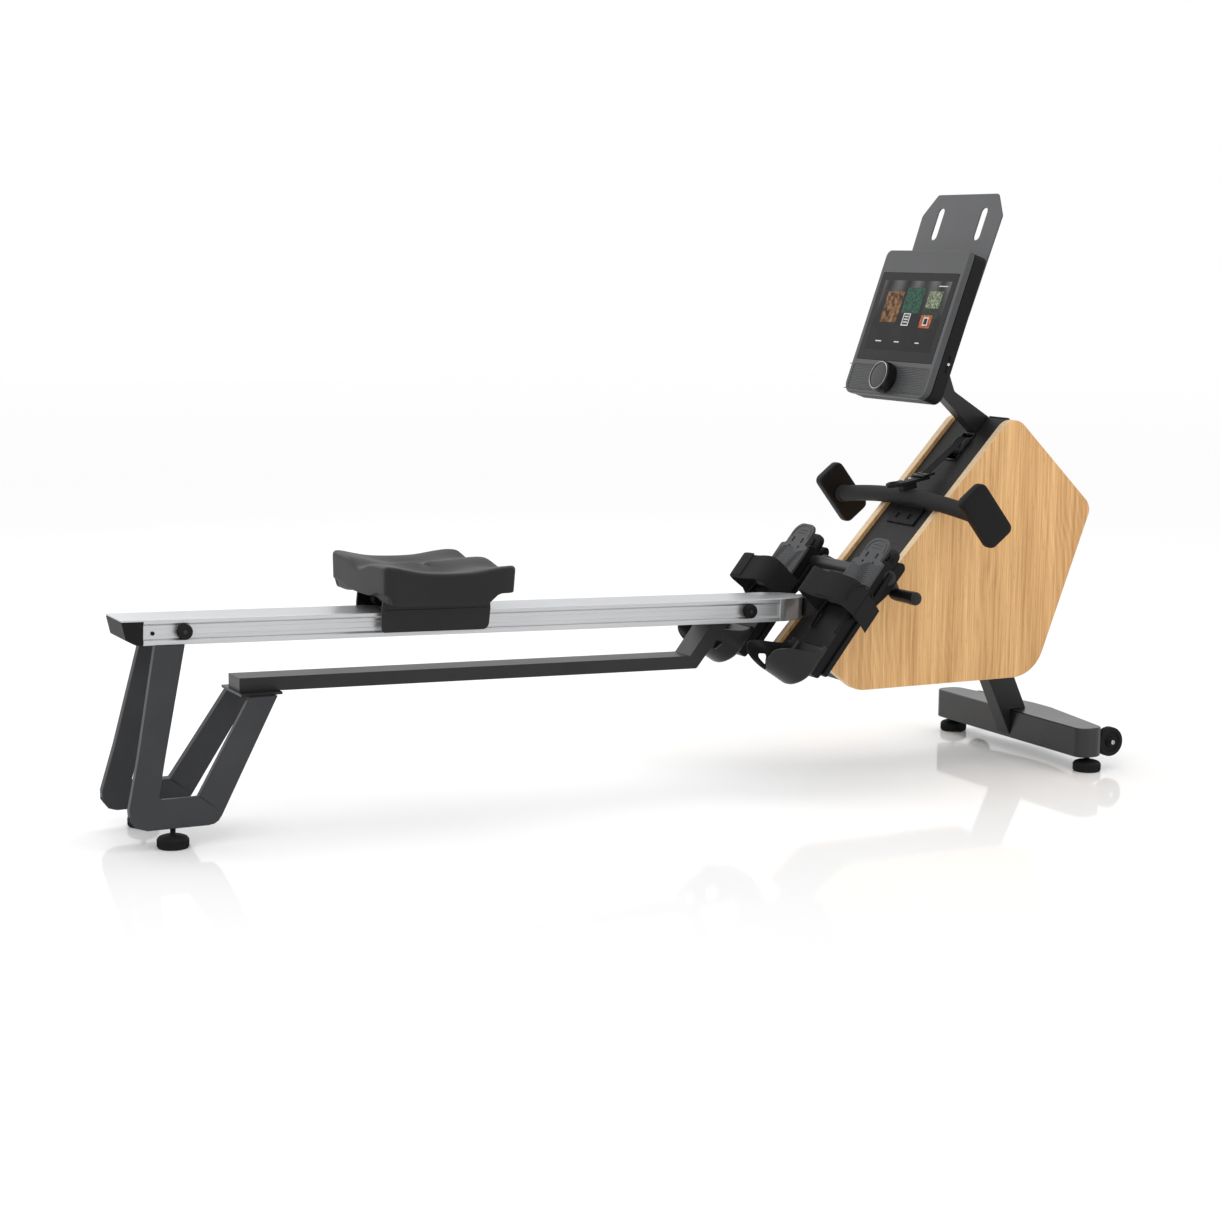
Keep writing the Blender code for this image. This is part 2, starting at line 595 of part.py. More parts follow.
armFrom = math.radians(18)
armTo = math.radians(74)
shoeOuter = arcPoints(flywheelCentre, 0.146, armFrom, armTo, 10)
shoeInner = arcPoints(flywheelCentre, 0.105, armTo, armFrom, 10)
brake = flat("brake_shoe", [shoeOuter + shoeInner], -0.0580, -0.0160, "Y", world, (brakePivot[0], 0, brakePivot[1]))
gapInner = arcPoints(flywheelCentre, 0.095, armFrom - 0.2, armTo + 0.2, 12)
gapOuter = arcPoints(flywheelCentre, 0.135, armTo + 0.2, armFrom - 0.2, 12)
brake = without(brake, flat("cutter", [gapInner + gapOuter], -0.0535, -0.0185, "Y", collection=cutterSet))
ear = roundedOutline([(brakePivot[0] + x, brakePivot[1] + z) for x, z in
                      ((-0.011, -0.016), (0.012, -0.018), (0.011, 0.009), (-0.010, 0.009))], [0.006] * 4, 3)
brake = joined(brake, flat("cutter", [ear], -0.0640, -0.0545, "Y", collection=cutterSet))
brake = joined(brake, rod("cutter", 0.0030, (brakePivot[0], -0.0685, brakePivot[1]),
                         (brakePivot[0], -0.0560, brakePivot[1]), steps=12, collection=cutterSet))
painted(brake, "steel")

motor = box("tension_motor", (1.800, -0.0150, 0.330), (1.826, 0.0300, 0.372), bevel=0.002)
motor = joined(motor, box("cutter", (1.806, 0.028, 0.338), (1.820, plateY - gap, 0.364), collection=cutterSet))
painted(motor, "grey_plastic")
circuit = box("control_board", (1.600, 0.0500, 0.450), (1.680, 0.0516, 0.520))
for x in (1.606, 1.674):
    circuit = joined(circuit, rod("cutter", 0.003, (x, 0.051, 0.456), (x, plateY - gap, 0.456), steps=10,
                                 collection=cutterSet))
painted(circuit, "board")

# Pull strap: from the handle's tab, through the slot, over the guide pulley and down to the spool.
handleCentre = slope @ Vector((handleU, 0, handleN))
tabEnd = (1.594, 0.5745)
strapIn = (guideCentre[0] - 0.6260 * (guideRadius + 0.0011), guideCentre[1] + 0.7798 * (guideRadius + 0.0011))
wrap = arcPoints(guideCentre, guideRadius + 0.0011, math.atan2(0.7798, -0.6260), math.radians(-24), 12)
spoolTurn = spoolRadius + 0.0011
spoolLeave = (dx + spoolTurn * math.cos(math.radians(-24)), dz + spoolTurn * math.sin(math.radians(-24)))
tail = arcPoints(driveCentre, spoolTurn, math.radians(-24), math.radians(-150), 8)
centreLine = [tabEnd] + wrap + tail
half = 0.0007
rightSide = []
leftSide = []
for i, here in enumerate(centreLine):
    before = Vector(centreLine[max(i - 1, 0)])
    after = Vector(centreLine[min(i + 1, len(centreLine) - 1)])
    along = (after - before).normalized()
    across = Vector((-along.y, along.x)) * half
    rightSide.append(tuple(Vector(here) + across))
    leftSide.append(tuple(Vector(here) - across))
strap = flat("pull_strap", [rightSide + leftSide[::-1]], -0.0125, 0.0125)
painted(strap, "webbing")

rest = box("handle_rest", (0.340, -0.046, -coverInset + gap), (0.384, 0.046, -0.0035), slope, bevel=0.001, segments=1)
for s in (-1, 1):
    y0, y1 = ordered(s * 0.014, s * 0.026)
    rest = without(rest, cutBox((0.352, y0, -0.0060), (0.364, y1, 0.01), slope))
painted(rest, "grey_plastic")

# Handle: bent tube with a strap tab on top and a flat paddle at each end.
handlePath = []
for k in range(17):
    y = -0.242 + 0.484 * k / 16
    bend = (abs(y) / 0.238) ** 2
    handlePath.append((handleCentre.x + 0.002 * bend, y, handleCentre.z - 0.016 * bend))
handle = tube("handle_bar", handlePath, handleTube, world, tuple(handleCentre), 3)
tab = frameOf(handleCentre.x - 0.046, handleCentre.z + 0.0215, math.radians(10))
handle = joined(handle, box("cutter", (0, -0.0155, -0.0035), (0.092, 0.0155, 0.0030), tab, collection=cutterSet))
handle = joined(handle, box("cutter", (0.030, -0.0120, -0.0150), (0.062, 0.0120, -0.0010), tab,
                           collection=cutterSet))
for s in (-1, 1):
    y0, y1 = ordered(s * handleEndY, s * 0.30)
    handle = without(handle, cutBox((1.40, y0, 0.30), (1.70, y1, 0.70)))
handle = without(handle, cutRod(0.0075, (0.0125, 0, -0.02), (0.0125, 0, 0.02), "Z", tab, 16))
painted(handle, "black_plastic")
paddleOutline = roundedOutline([(-0.0590, -0.0320), (0.0590, -0.0320), (0.0590, 0.0320), (-0.0590, 0.0320)],
                               [0.012] * 4, 4)
for side, s in sides.items():
    low, high = ordered(s * 0.2385, s * (handleHalfSpan + 0.0125))
    grip = flat(f"handle_paddle_{side}", [paddleOutline], low, high, "Y", paddle, (0, s * handleHalfSpan, 0), 0.003, 2)
    painted(grip, "black_plastic")

# Pedals: crossbar, support blocks with side pegs, foot plates, heel cups and foot straps.
bar = rod("pedal_crossbar", crossbarRadius, (crossbarU, -0.176, crossbarN), (crossbarU, 0.176, crossbarN),
          "Y", pedal)
painted(bar, "black_paint", True)
blockSide = [(0.000, -0.0120), (0.000, -0.0220), (0.020, -0.0220), (0.160, -0.0360), (0.215, -0.0640),
             (0.284, -0.0660), (0.300, -0.0560), (0.300, -0.0300), (0.262, -0.0120)]
blockRadii = [0, 0, 0, 0.02, 0.012, 0.010, 0.008, 0.008, 0]
platePlan = [(0.092, -0.050), (0.250, -0.050), (0.250, -0.036), (0.302, -0.036), (0.302, 0.036), (0.250, 0.036),
             (0.250, 0.050), (0.092, 0.050)]
platePlanRadii = [0.004, 0.006, 0, 0.030, 0.030, 0, 0.006, 0.004]
cupOuter = [(0.052, -0.054), (0.052, 0.054), (-0.034, 0.054), (-0.034, -0.054)]
cupRadii = [0.002, 0.002, 0.046, 0.046]
cupInner = [(0.080, -0.0505), (0.080, 0.0505), (-0.0305, 0.0505), (-0.0305, -0.0505)]
strapOuter = [(-0.0645, -0.0240), (-0.0645, 0.0450), (0.0645, 0.0450), (0.0645, -0.0240)]
strapInner = [(0.0620, -0.0240), (0.0620, 0.0425), (-0.0620, 0.0425), (-0.0620, -0.0240)]
for side, s in sides.items():
    here = pedal @ Matrix.Translation((0, s * pedalY, 0))
    block = flat(f"pedal_block_{side}", [roundedOutline(blockSide, blockRadii, 3)], -0.044, 0.044, "Y", here,
                 (0.15, 0, -0.02), 0.0015)
    block = joined(block, box("cutter", (0.130, -0.0615, -0.0235), (0.186, 0.0615, -0.0150), here,
                             collection=cutterSet))
    pegPath = [(1.409, s * 0.145, 0.407), (1.421, s * 0.145, 0.378), (1.4235, s * 0.148, 0.368),
               (1.425, s * 0.155, 0.3625), (1.425, s * 0.165, 0.362), (1.425, s * 0.223, 0.362)]
    block = joined(block, tube("cutter", pegPath, 0.0123, resolution=3, collection=cutterSet))
    block = without(block, cutRod(crossbarRadius + gap, (crossbarU, -0.06, crossbarN), (crossbarU, 0.06, crossbarN),
                                  frame=here))
    painted(block, "black_paint")

    foot = flat(f"foot_plate_{side}", [roundedOutline(platePlan, platePlanRadii, 4)], -0.0117, -0.0050, "Z", here,
                (0.17, 0, -0.008), 0.001)
    for u, y in ((0.262, 0.016), (0.262, -0.016), (0.280, 0.014), (0.280, -0.014)):
        foot = without(foot, cutBox((u - 0.004, y - 0.003, -0.02), (u + 0.004, y + 0.003, 0.01), here))
    painted(foot, "grey_plastic")

    cup = flat(f"heel_cup_{side}", [roundedOutline(cupOuter, cupRadii, 6)], -0.0117, 0.078, "Z", here, (0, 0, 0))
    cup = without(cup, flat("cutter", [roundedOutline(cupInner, [0, 0, 0.043, 0.043], 6)], -0.0080, 0.10, "Z", here,
                            collection=cutterSet))
    ramp = here @ Matrix.Translation((-0.016, 0, 0.080)) @ Matrix.Rotation(math.radians(52), 4, "Y")
    cup = without(cup, cutBox((0, -0.1, 0), (0.20, 0.1, 0.12), ramp))
    cup = without(cup, cutBox((-0.06, -0.020, 0.012), (-0.020, 0.020, 0.052), here))
    painted(cup, "black_plastic")

    over = roundedOutline(strapOuter, [0, 0.020, 0.020, 0], 4)
    under = roundedOutline(strapInner, [0, 0.0175, 0.0175, 0], 4)
    band = flat(f"foot_strap_{side}", [over + under], 0.132, 0.184, "X", here, (0.158, 0, 0.045))
    painted(band, "webbing")

# Console on its mast.
hinge = console @ Vector((hingeU, 0, hingeN))
mastSide = [(1.7250, 0.590), (1.7600, 0.590), (1.7600, 0.6560), (1.7400, 0.6740), (1.6440, 0.7335), (1.6300, 0.7700),
            (hinge.x + 0.014, hinge.z + 0.008), (hinge.x + 0.004, hinge.z + 0.014), (hinge.x - 0.012, hinge.z + 0.006),
            (hinge.x - 0.010, hinge.z - 0.012), (1.6125, 0.7270), (1.6945, 0.6530), (1.7250, 0.6220)]
mastRadii = [0, 0, 0.005, 0.006, 0.012, 0.020, 0.006, 0.006, 0.006, 0.006, 0.020, 0.004, 0.004]
mast = flat("mast", [roundedOutline(mastSide, mastRadii, 3)], -0.0140, 0.0140,
            "Y", world, (1.7425, 0, 0.60), 0.0015)
mastHollow = [(1.7280, 0.580), (1.7570, 0.580), (1.7570, 0.6540), (1.7380, 0.6712), (1.6420, 0.7305), (1.6230, 0.7600),
              (1.6060, 0.7560), (1.6165, 0.7275), (1.6970, 0.6550), (1.7280, 0.6232)]
mast = without(mast, flat("cutter", [mastHollow], -0.0110, 0.0110, "Y", collection=cutterSet))
mast = joined(mast, box("cutter", (1.7240, -plateY + gap, 0.5960), (1.7580, plateY - gap, 0.6020),
                       collection=cutterSet))
mast = without(mast, cutRod(0.0053, (hinge.x, -0.03, hinge.z), (hinge.x, 0.03, hinge.z), steps=16))
painted(mast, "black_paint")

body = box("console_body", (0, -consoleHalfWidth, -consoleDepth), (consoleHeight, consoleHalfWidth, 0), console,
           (hingeU, 0, hingeN), 0.004, 2)
body = without(body, cutBox((0.0695, -0.131, -0.0022), (0.2495, 0.131, 0.01), console))
body = without(body, cutRod(0.0063, (0.034, 0, -0.010), (0.034, 0, 0.010), "Z", console, 16))
painted(body, "grey_paint")
glass = box("console_glass", (0.0698, -0.1307, -0.0019), (0.2492, 0.1307, 0.0003), console,
            (hingeU, 0, hingeN))
painted(glass, "glass")
knobProfile = [(0, 0.0235), (0.0265, 0.0235), (0.0300, 0.0210), (0.0300, gap), (0.0060, gap), (0.0060, -0.008),
               (0, -0.008)]
knob = turned("console_knob", knobProfile, (0.034, 0, 0), "Z", console)
painted(knob, "black_plastic", True)

clevis = box("console_bracket", (0.085, -0.045, -consoleDepth - 0.0050), (0.155, 0.045, -consoleDepth - gap), console,
             (hingeU, 0, hingeN))
for s in (-1, 1):
    y0, y1 = ordered(s * 0.0145, s * 0.0190)
    clevis = joined(clevis, box("cutter", (hingeU - 0.014, y0, hingeN - 0.010),
                               (hingeU + 0.014, y1, -consoleDepth - 0.002), console, collection=cutterSet))
clevis = joined(clevis, rod("cutter", 0.0050, (hingeU, -0.0215, hingeN), (hingeU, 0.0215, hingeN), "Y", console, 16,
                           cutterSet))
painted(clevis, "steel")

tabletPlan = [(0.175, -0.128), (0.384, -0.134), (0.428, -0.100), (0.428, 0.100), (0.384, 0.134), (0.175, 0.128)]
tablet = flat("tablet_plate", [roundedOutline(tabletPlan, [0.01] * 6, 3)], -0.0085, -0.0055, "Z",
              console @ Matrix.Translation((0, 0, -consoleDepth)), (hingeU, 0, hingeN + consoleDepth))
for s in (-1, 1):
    y0, y1 = ordered(s * 0.062, s * 0.082)
    tablet = without(tablet, cutBox((0.334, y0, -0.06), (0.400, y1, -0.03), console))
    y0, y1 = ordered(s * 0.060, s * 0.074)
    tablet = joined(tablet, box("cutter", (0.190, y0, -consoleDepth - 0.006), (0.220, y1, -consoleDepth - gap), console,
                               collection=cutterSet))
painted(tablet, "grey_paint")

# Seat, its carriage and the two roller sets.
seatMiddle = (seatX[0] + seatX[1]) / 2
seatZ = 0.0296
seat = box("seat_pad", (seatX[0], -seatHalfWidth, seatZ), (seatX[1], seatHalfWidth, 0.0900), rail,
           (seatMiddle, 0, 0.05), 0.022, 4)
saddle = rail @ Matrix.Translation((seatMiddle - 0.01, 0, 0.4680))
for s in (-1, 1):
    y0, y1 = ordered(s * 0.0660, s * 0.1330)
    seat = without(seat, cutBox((seatX[0] + 0.014, y0, 0.0200), (seatX[1] - 0.014, y1, 0.0640), rail))
seat = without(seat, turned("cutter", [(0, 0.30), (0.39, 0.30), (0.39, -0.30), (0, -0.30)], (0, 0, 0), "X", saddle, 64,
                            cutterSet))
painted(seat, "black_plastic", True)

slideX = (0.420, 0.627)
carriage = box("seat_carriage", (slideX[0], -0.0605, 0.0257), (slideX[1], 0.0605, 0.0292), rail, (seatMiddle, 0, 0.02))
for s in (-1, 1):
    y0, y1 = ordered(s * 0.0580, s * 0.0605)
    carriage = joined(carriage, box("cutter", (slideX[0], y0, -0.0345), (slideX[1], y1, 0.0270), rail,
                                   collection=cutterSet))
rollerSpots = {"rear": slideX[0] + 0.032, "front": slideX[1] - 0.032}
for x in rollerSpots.values():
    carriage = without(carriage, cutRod(0.0043, (x, -0.08, rollerRadius + gap), (x, 0.08, rollerRadius + gap),
                                        frame=rail, steps=16))
painted(carriage, "black_paint")
for end, x in rollerSpots.items():
    profile = [(0, 0.0610), (0.0040, 0.0610), (0.0040, 0.0450), (rollerRadius, 0.0450), (rollerRadius, 0.0250),
               (0.0055, 0.0245), (0.0055, -0.0245), (rollerRadius, -0.0250), (rollerRadius, -0.0450),
               (0.0040, -0.0450), (0.0040, -0.0610), (0, -0.0610)]
    rollers = turned(f"seat_rollers_{end}", profile, (x, 0, rollerRadius + gap), "Y", rail)
    painted(rollers, "rubber", True)

for item in partSet.objects:
    item.location.x -= overallMiddleX
for item in cutterSet.objects:
    item.hide_render = True
    item.display_type = "WIRE"
bpy.context.view_layer.update()
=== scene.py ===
import math

import bmesh
import bpy
from mathutils import Matrix, Vector


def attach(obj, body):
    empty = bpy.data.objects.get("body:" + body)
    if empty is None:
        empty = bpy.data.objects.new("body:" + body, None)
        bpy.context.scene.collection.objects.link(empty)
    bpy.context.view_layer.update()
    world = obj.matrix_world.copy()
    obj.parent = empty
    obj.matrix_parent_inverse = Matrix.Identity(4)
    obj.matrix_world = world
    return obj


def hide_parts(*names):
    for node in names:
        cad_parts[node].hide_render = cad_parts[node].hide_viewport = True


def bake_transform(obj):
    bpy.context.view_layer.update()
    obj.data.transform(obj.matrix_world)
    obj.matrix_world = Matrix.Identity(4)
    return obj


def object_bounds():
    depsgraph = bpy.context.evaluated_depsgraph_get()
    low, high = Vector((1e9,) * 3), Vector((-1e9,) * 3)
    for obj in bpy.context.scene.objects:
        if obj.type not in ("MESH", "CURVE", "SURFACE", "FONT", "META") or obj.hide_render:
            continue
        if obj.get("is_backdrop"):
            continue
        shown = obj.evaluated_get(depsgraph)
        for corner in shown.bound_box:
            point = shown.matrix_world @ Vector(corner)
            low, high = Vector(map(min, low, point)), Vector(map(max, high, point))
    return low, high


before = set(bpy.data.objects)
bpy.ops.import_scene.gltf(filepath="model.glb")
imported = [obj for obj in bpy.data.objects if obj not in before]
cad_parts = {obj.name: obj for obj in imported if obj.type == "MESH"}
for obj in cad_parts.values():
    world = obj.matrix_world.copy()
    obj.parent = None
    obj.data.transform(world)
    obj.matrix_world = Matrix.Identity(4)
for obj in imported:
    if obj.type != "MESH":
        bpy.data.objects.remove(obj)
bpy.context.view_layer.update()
print("frame loaded")

middleX = 0.93964      # the machine's own lengths start at the rail's rear end
sides = {"l": 1, "r": -1}
sideWord = {"l": "left", "r": "right"}


def frameOf(x, z, angle):
    return Matrix.Translation((x - middleX, 0, z)) @ Matrix.Rotation(-angle, 4, "Y")


railFrame = frameOf(0.0, 0.3825, -math.radians(1.5))
slopeFrame = frameOf(1.298, 0.230, math.atan2(0.466, 0.428))
pedalFrame = frameOf(1.216, 0.2335, math.radians(52))
consoleFrame = frameOf(1.484, 0.728, math.atan2(0.279, 0.099))
paddleFrame = frameOf(1.5550, 0.5155, math.atan2(-0.787, 0.617))
floorFrame = Matrix.Translation((-middleX, 0, 0))


# Shader writing: one class for a value travelling through a node tree.
class Wire:
    def __init__(self, tree, socket=None):
        self.tree = tree
        self.socket = socket

    def node(self, kind, settings=None, values=None, output=0):
        made = self.tree.nodes.new("ShaderNode" + kind)
        for key, value in (settings or {}).items():
            if key == "stops":
                ramp = made.color_ramp
                while len(ramp.elements) < len(value):
                    ramp.elements.new(0.5)
                for element, (place, colour) in zip(ramp.elements, value):
                    element.position = place
                    element.color = colour
            else:
                setattr(made, key, value)
        for key, value in (values or {}).items():
            if isinstance(value, Wire):
                self.tree.links.new(value.socket, made.inputs[key])
            else:
                made.inputs[key].default_value = value
        return Wire(self.tree, made.outputs[output])

    def maths(self, operation, *parts):
        return self.node("Math", {"operation": operation}, dict(enumerate(parts)))

    def __add__(self, other):
        return self.maths("ADD", self, other)

    def __radd__(self, other):
        return self.maths("ADD", other, self)

    def __sub__(self, other):
        return self.maths("SUBTRACT", self, other)

    def __rsub__(self, other):
        return self.maths("SUBTRACT", other, self)

    def __mul__(self, other):
        return self.maths("MULTIPLY", self, other)

    def __rmul__(self, other):
        return self.maths("MULTIPLY", other, self)

    def __truediv__(self, other):
        return self.maths("DIVIDE", self, other)

    def between(self, low, high):
        return self.node("MapRange", {"clamp": True}, {"Value": self, "From Min": low, "From Max": high})

    def blend(self, first, second):
        return self.node("Mix", {"data_type": "RGBA"}, {0: self, 6: first, 7: second}, 2)

    def place(self, scale=(1, 1, 1), turn=(0, 0, 0), source="Object"):
        spot = self.node("TexCoord", output={"Object": 3, "UV": 2}[source])
        return self.node("Mapping", None, {"Vector": spot, "Scale": scale, "Rotation": turn})

    def noise(self, where, scale, detail=2.0, rough=0.5):
        return self.node("TexNoise", None,
                         {"Vector": where, "Scale": scale, "Detail": detail, "Roughness": rough})

    def bump(self, height, distance, strength=1.0, under=None):
        values = {"Height": height, "Distance": distance, "Strength": strength}
        if under:
            values["Normal"] = under
        return self.node("Bump", None, values)


def grey(level, warm=0.0):
    return (level * (1 + warm), level, level * (1 - warm), 1)


def material(name, pattern, **fixed):
    made = bpy.data.materials.new(name)
    made.use_nodes = True
    shader = made.node_tree.nodes["Principled BSDF"]
    for socket, value in fixed.items():
        shader.inputs[socket.replace("_", " ")].default_value = value
    for socket, value in pattern(Wire(made.node_tree)).items():
        made.node_tree.links.new(value.socket, shader.inputs[socket])
    return made


def coated(dark, light, rough, grainSize, grainDepth):
    # sprayed or moulded skin: a fine orange peel, soft cloudy tone and slightly uneven gloss
    def pattern(wire):
        where = wire.place()
        clouds = wire.noise(where, 9, 3)
        grains = wire.noise(where, grainSize, 2)
        tone = clouds.between(0.3, 0.7) * 0.7 + grains.between(0.3, 0.7) * 0.3
        return {"Base Color": tone.blend(dark, light),
                "Roughness": clouds * 0.10 + (rough - 0.05) + grains * 0.04,
                "Normal": wire.bump(grains, grainDepth, 0.5)}
    return pattern


def drawnMetal(dark, light, rough, along):
    # extruded or brushed metal: long fine lines along one direction
    def pattern(wire):
        lines = wire.noise(wire.place(along), 1.0, 3, 0.6)
        broad = wire.noise(wire.place(), 5, 2)
        tone = lines * 0.75 + broad * 0.25
        return {"Base Color": tone.between(0.25, 0.75).blend(dark, light),
                "Roughness": lines * 0.16 + (rough - 0.08),
                "Normal": wire.bump(lines, 0.00008, 0.4)}
    return pattern


def oakFace(wire):
    # veneer with upright grain: close fine lines, softer streaks, a few arched figures and short pores
    spot = wire.node("SeparateXYZ", None, {0: wire.node("TexCoord", output=3)})
    drift = wire.noise(wire.place((5.0, 1, 1.5)), 1.0, 3, 0.55)
    rings = spot * 520 + drift * 84
    figure = (rings.maths("SINE", rings) * 0.5 + 0.5) * wire.noise(wire.place((9, 9, 1.8)),
                                                                   1.0).between(0.40, 0.60)
    fine = wire.noise(wire.place((330, 330, 5)), 1.0, 3, 0.62)
    streaks = wire.noise(wire.place((95, 95, 1.5)), 1.0, 3, 0.6)
    broad = wire.noise(wire.place((17, 17, 1.6)), 1.0, 2, 0.5)
    pores = wire.noise(wire.place((900, 900, 34)), 1.0, 1).between(0.64, 0.74)
    tone = fine * 0.42 + streaks * 0.36 + broad * 0.22
    warm = (tone.between(0.38, 0.62) - figure * 0.26).blend((0.500, 0.258, 0.092, 1),
                                                            (0.860, 0.530, 0.236, 1))
    colour = (pores * 0.55).blend(warm, (0.28, 0.145, 0.055, 1))
    return {"Base Color": colour, "Roughness": fine * 0.10 + 0.38,
            "Normal": wire.bump(fine - pores, 0.00012, 0.5)}


def oakEdge(wire):
    # cut edge of the panel: paler, with close short end grain
    layers = wire.noise(wire.place((700, 60, 700)), 1.0, 2)
    specks = wire.noise(wire.place((300, 900, 300)), 1.0, 2)
    tone = layers * 0.6 + specks * 0.4
    return {"Base Color": tone.between(0.3, 0.7).blend((0.66, 0.46, 0.26, 1), (0.84, 0.66, 0.44, 1)),
            "Roughness": specks * 0.1 + 0.45, "Normal": wire.bump(layers, 0.0001, 0.5)}


def slantWeave(dark, light, count, depth, rough):
    # fine diagonal twill, seen on the sloping cover
    def pattern(wire):
        axes = wire.node("TexCoord", output=3)
        turned = wire.node("Mapping", None, {"Vector": axes, "Rotation": (0, 0.83, 0)})
        across = wire.node("SeparateXYZ", None, {0: turned}, 1)
        along = wire.node("SeparateXYZ", None, {0: turned}, 2)
        first = ((across + along) * count).maths("SINE", (across + along) * count)
        second = ((across - along) * count).maths("SINE", (across - along) * count)
        height = first.maths("MAXIMUM", first, second) * 0.5 + 0.5
        return {"Base Color": height.blend(dark, light), "Roughness": height * 0.12 + rough,
                "Normal": wire.bump(height, depth, 0.8)}
    return pattern


def webWeave(wire):
    # narrow woven strap: ribs across and yarns along, read from the piece's own map in metres
    spot = wire.node("TexCoord", output=2)
    along = wire.node("SeparateXYZ", None, {0: spot}, 0)
    across = wire.node("SeparateXYZ", None, {0: spot}, 1)
    ribs = (along * 3600).maths("SINE", along * 3600)
    yarns = (across * 5200).maths("SINE", across * 5200)
    height = ribs.maths("MULTIPLY", ribs, yarns) * 0.5 + 0.5
    fuzz = wire.noise(wire.place((800, 800, 800)), 1.0, 2)
    tone = height * 0.6 + fuzz * 0.4
    return {"Base Color": tone.blend(grey(0.008), grey(0.030)), "Roughness": fuzz * 0.1 + 0.78,
            "Normal": wire.bump(height + fuzz * 0.5, 0.0003, 0.7)}


looks = {
    "rail": material("anodisedRail",
                     drawnMetal((0.47, 0.475, 0.485, 1), (0.62, 0.625, 0.635, 1), 0.36, (2, 900, 900)),
                     Metallic=0.85),
    "beam": material("blackPowderCoat", coated(grey(0.010), grey(0.018), 0.36, 1500, 0.0002),
                     Specular_IOR_Level=0.32),
    "leg": material("charcoalPowderCoat",
                    coated((0.030, 0.031, 0.034, 1), (0.044, 0.045, 0.049, 1), 0.42, 1500,
                                                 0.0002), Specular_IOR_Level=0.25),
    "base": material("glossPowderCoat", coated(grey(0.006), grey(0.011), 0.27, 1500, 0.0001),
                     Specular_IOR_Level=0.5),
    "mould": material("mouldedBlack", coated(grey(0.005), grey(0.009), 0.48, 2200, 0.0002),
                      Specular_IOR_Level=0.14),
    "satin": material("satinBlack", coated(grey(0.005), grey(0.010), 0.28, 3000, 0.0001),
                      Specular_IOR_Level=0.28),
    "footplate": material("greyMoulding",
                          coated((0.040, 0.041, 0.043, 1), (0.058, 0.059, 0.062, 1), 0.48, 1800,
                                                 0.0002), Specular_IOR_Level=0.25),
    "console": material("charcoalCase", coated((0.050, 0.051, 0.053, 1), (0.070, 0.071, 0.074, 1), 0.42, 2600,
                                               0.0001), Specular_IOR_Level=0.28),
    "tablet": material("darkSteelPlate",
                       coated((0.062, 0.063, 0.066, 1), (0.082, 0.083, 0.087, 1), 0.40, 1500,
                                                0.0001), Specular_IOR_Level=0.3),
    "rubber": material("blackRubber", coated(grey(0.006), grey(0.011), 0.62, 1600, 0.0003),
                       Specular_IOR_Level=0.16),
    "foam": material("gripFoam", coated(grey(0.009), grey(0.017), 0.66, 2600, 0.0004),
                     Specular_IOR_Level=0.22),
    "seat": material("seatSkin", coated(grey(0.008), grey(0.014), 0.44, 1900, 0.00025),
                     Specular_IOR_Level=0.24),
    "oak": material("oakVeneer", oakFace, Coat_Weight=0.10, Coat_Roughness=0.3, Specular_IOR_Level=0.3),
    "oakEdge": material("oakCutEdge", oakEdge, Specular_IOR_Level=0.3),
    "twill": material("twillCover", slantWeave(grey(0.003), grey(0.022), 1300, 0.0003, 0.42),
                      Specular_IOR_Level=0.2),
    "steel": material("brightSteel",
                      drawnMetal((0.42, 0.43, 0.45, 1), (0.62, 0.63, 0.65, 1), 0.30, (300, 300, 300)),
                      Metallic=1.0),
    "iron": material("darkIron", coated(grey(0.10), grey(0.16), 0.45, 700, 0.0003), Metallic=0.9),
    "web": material("blackWebbing", webWeave, Specular_IOR_Level=0.08),
    "board": material("greenBoard", coated((0.01, 0.08, 0.03, 1), (0.015, 0.11, 0.045, 1), 0.45, 400,
                                           0.0001)),
    "glass": material("blackGlass", coated(grey(0.003), grey(0.005), 0.14, 40, 0.00001),
                      Specular_IOR_Level=0.25),
}
print("materials made:", len(looks))


# Mesh making
def newObject(name, mesh):
    obj = bpy.data.objects.new(name, mesh)
    bpy.context.scene.collection.objects.link(obj)
    return obj


def baked(obj):
    bpy.context.view_layer.update()
    graph = bpy.context.evaluated_depsgraph_get()
    mesh = bpy.data.meshes.new_from_object(obj.evaluated_get(graph))
    mesh.transform(obj.matrix_world)
    name = obj.name
    bpy.data.objects.remove(obj, do_unlink=True)
    mesh.name = name
    return newObject(name, mesh)


def fromBm(name, bm, place=None):
    mesh = bpy.data.meshes.new(name)
    bm.to_mesh(mesh)
    bm.free()
    if place is not None:
        mesh.transform(place)
    return newObject(name, mesh)


def dressed(obj, look, body, replaces=(), sharp=35):
    if look:
        obj.data.materials.clear()
        obj.data.materials.append(looks[look])
    obj.data.shade_smooth()
    obj.data.set_sharp_from_angle(angle=math.radians(sharp))
    weighted = obj.modifiers.new("even", "WEIGHTED_NORMAL")
    weighted.keep_sharp = True
    weighted.weight = 100
    obj = baked(obj)
    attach(obj, body)
    if replaces:
        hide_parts(*replaces)
    return obj


def rounded(obj, width, segments=3, angle=30):
    modifier = obj.modifiers.new("round", "BEVEL")
    modifier.width = width
    modifier.segments = segments
    modifier.limit_method = "ANGLE"
    modifier.angle_limit = math.radians(angle)
    return baked(obj)


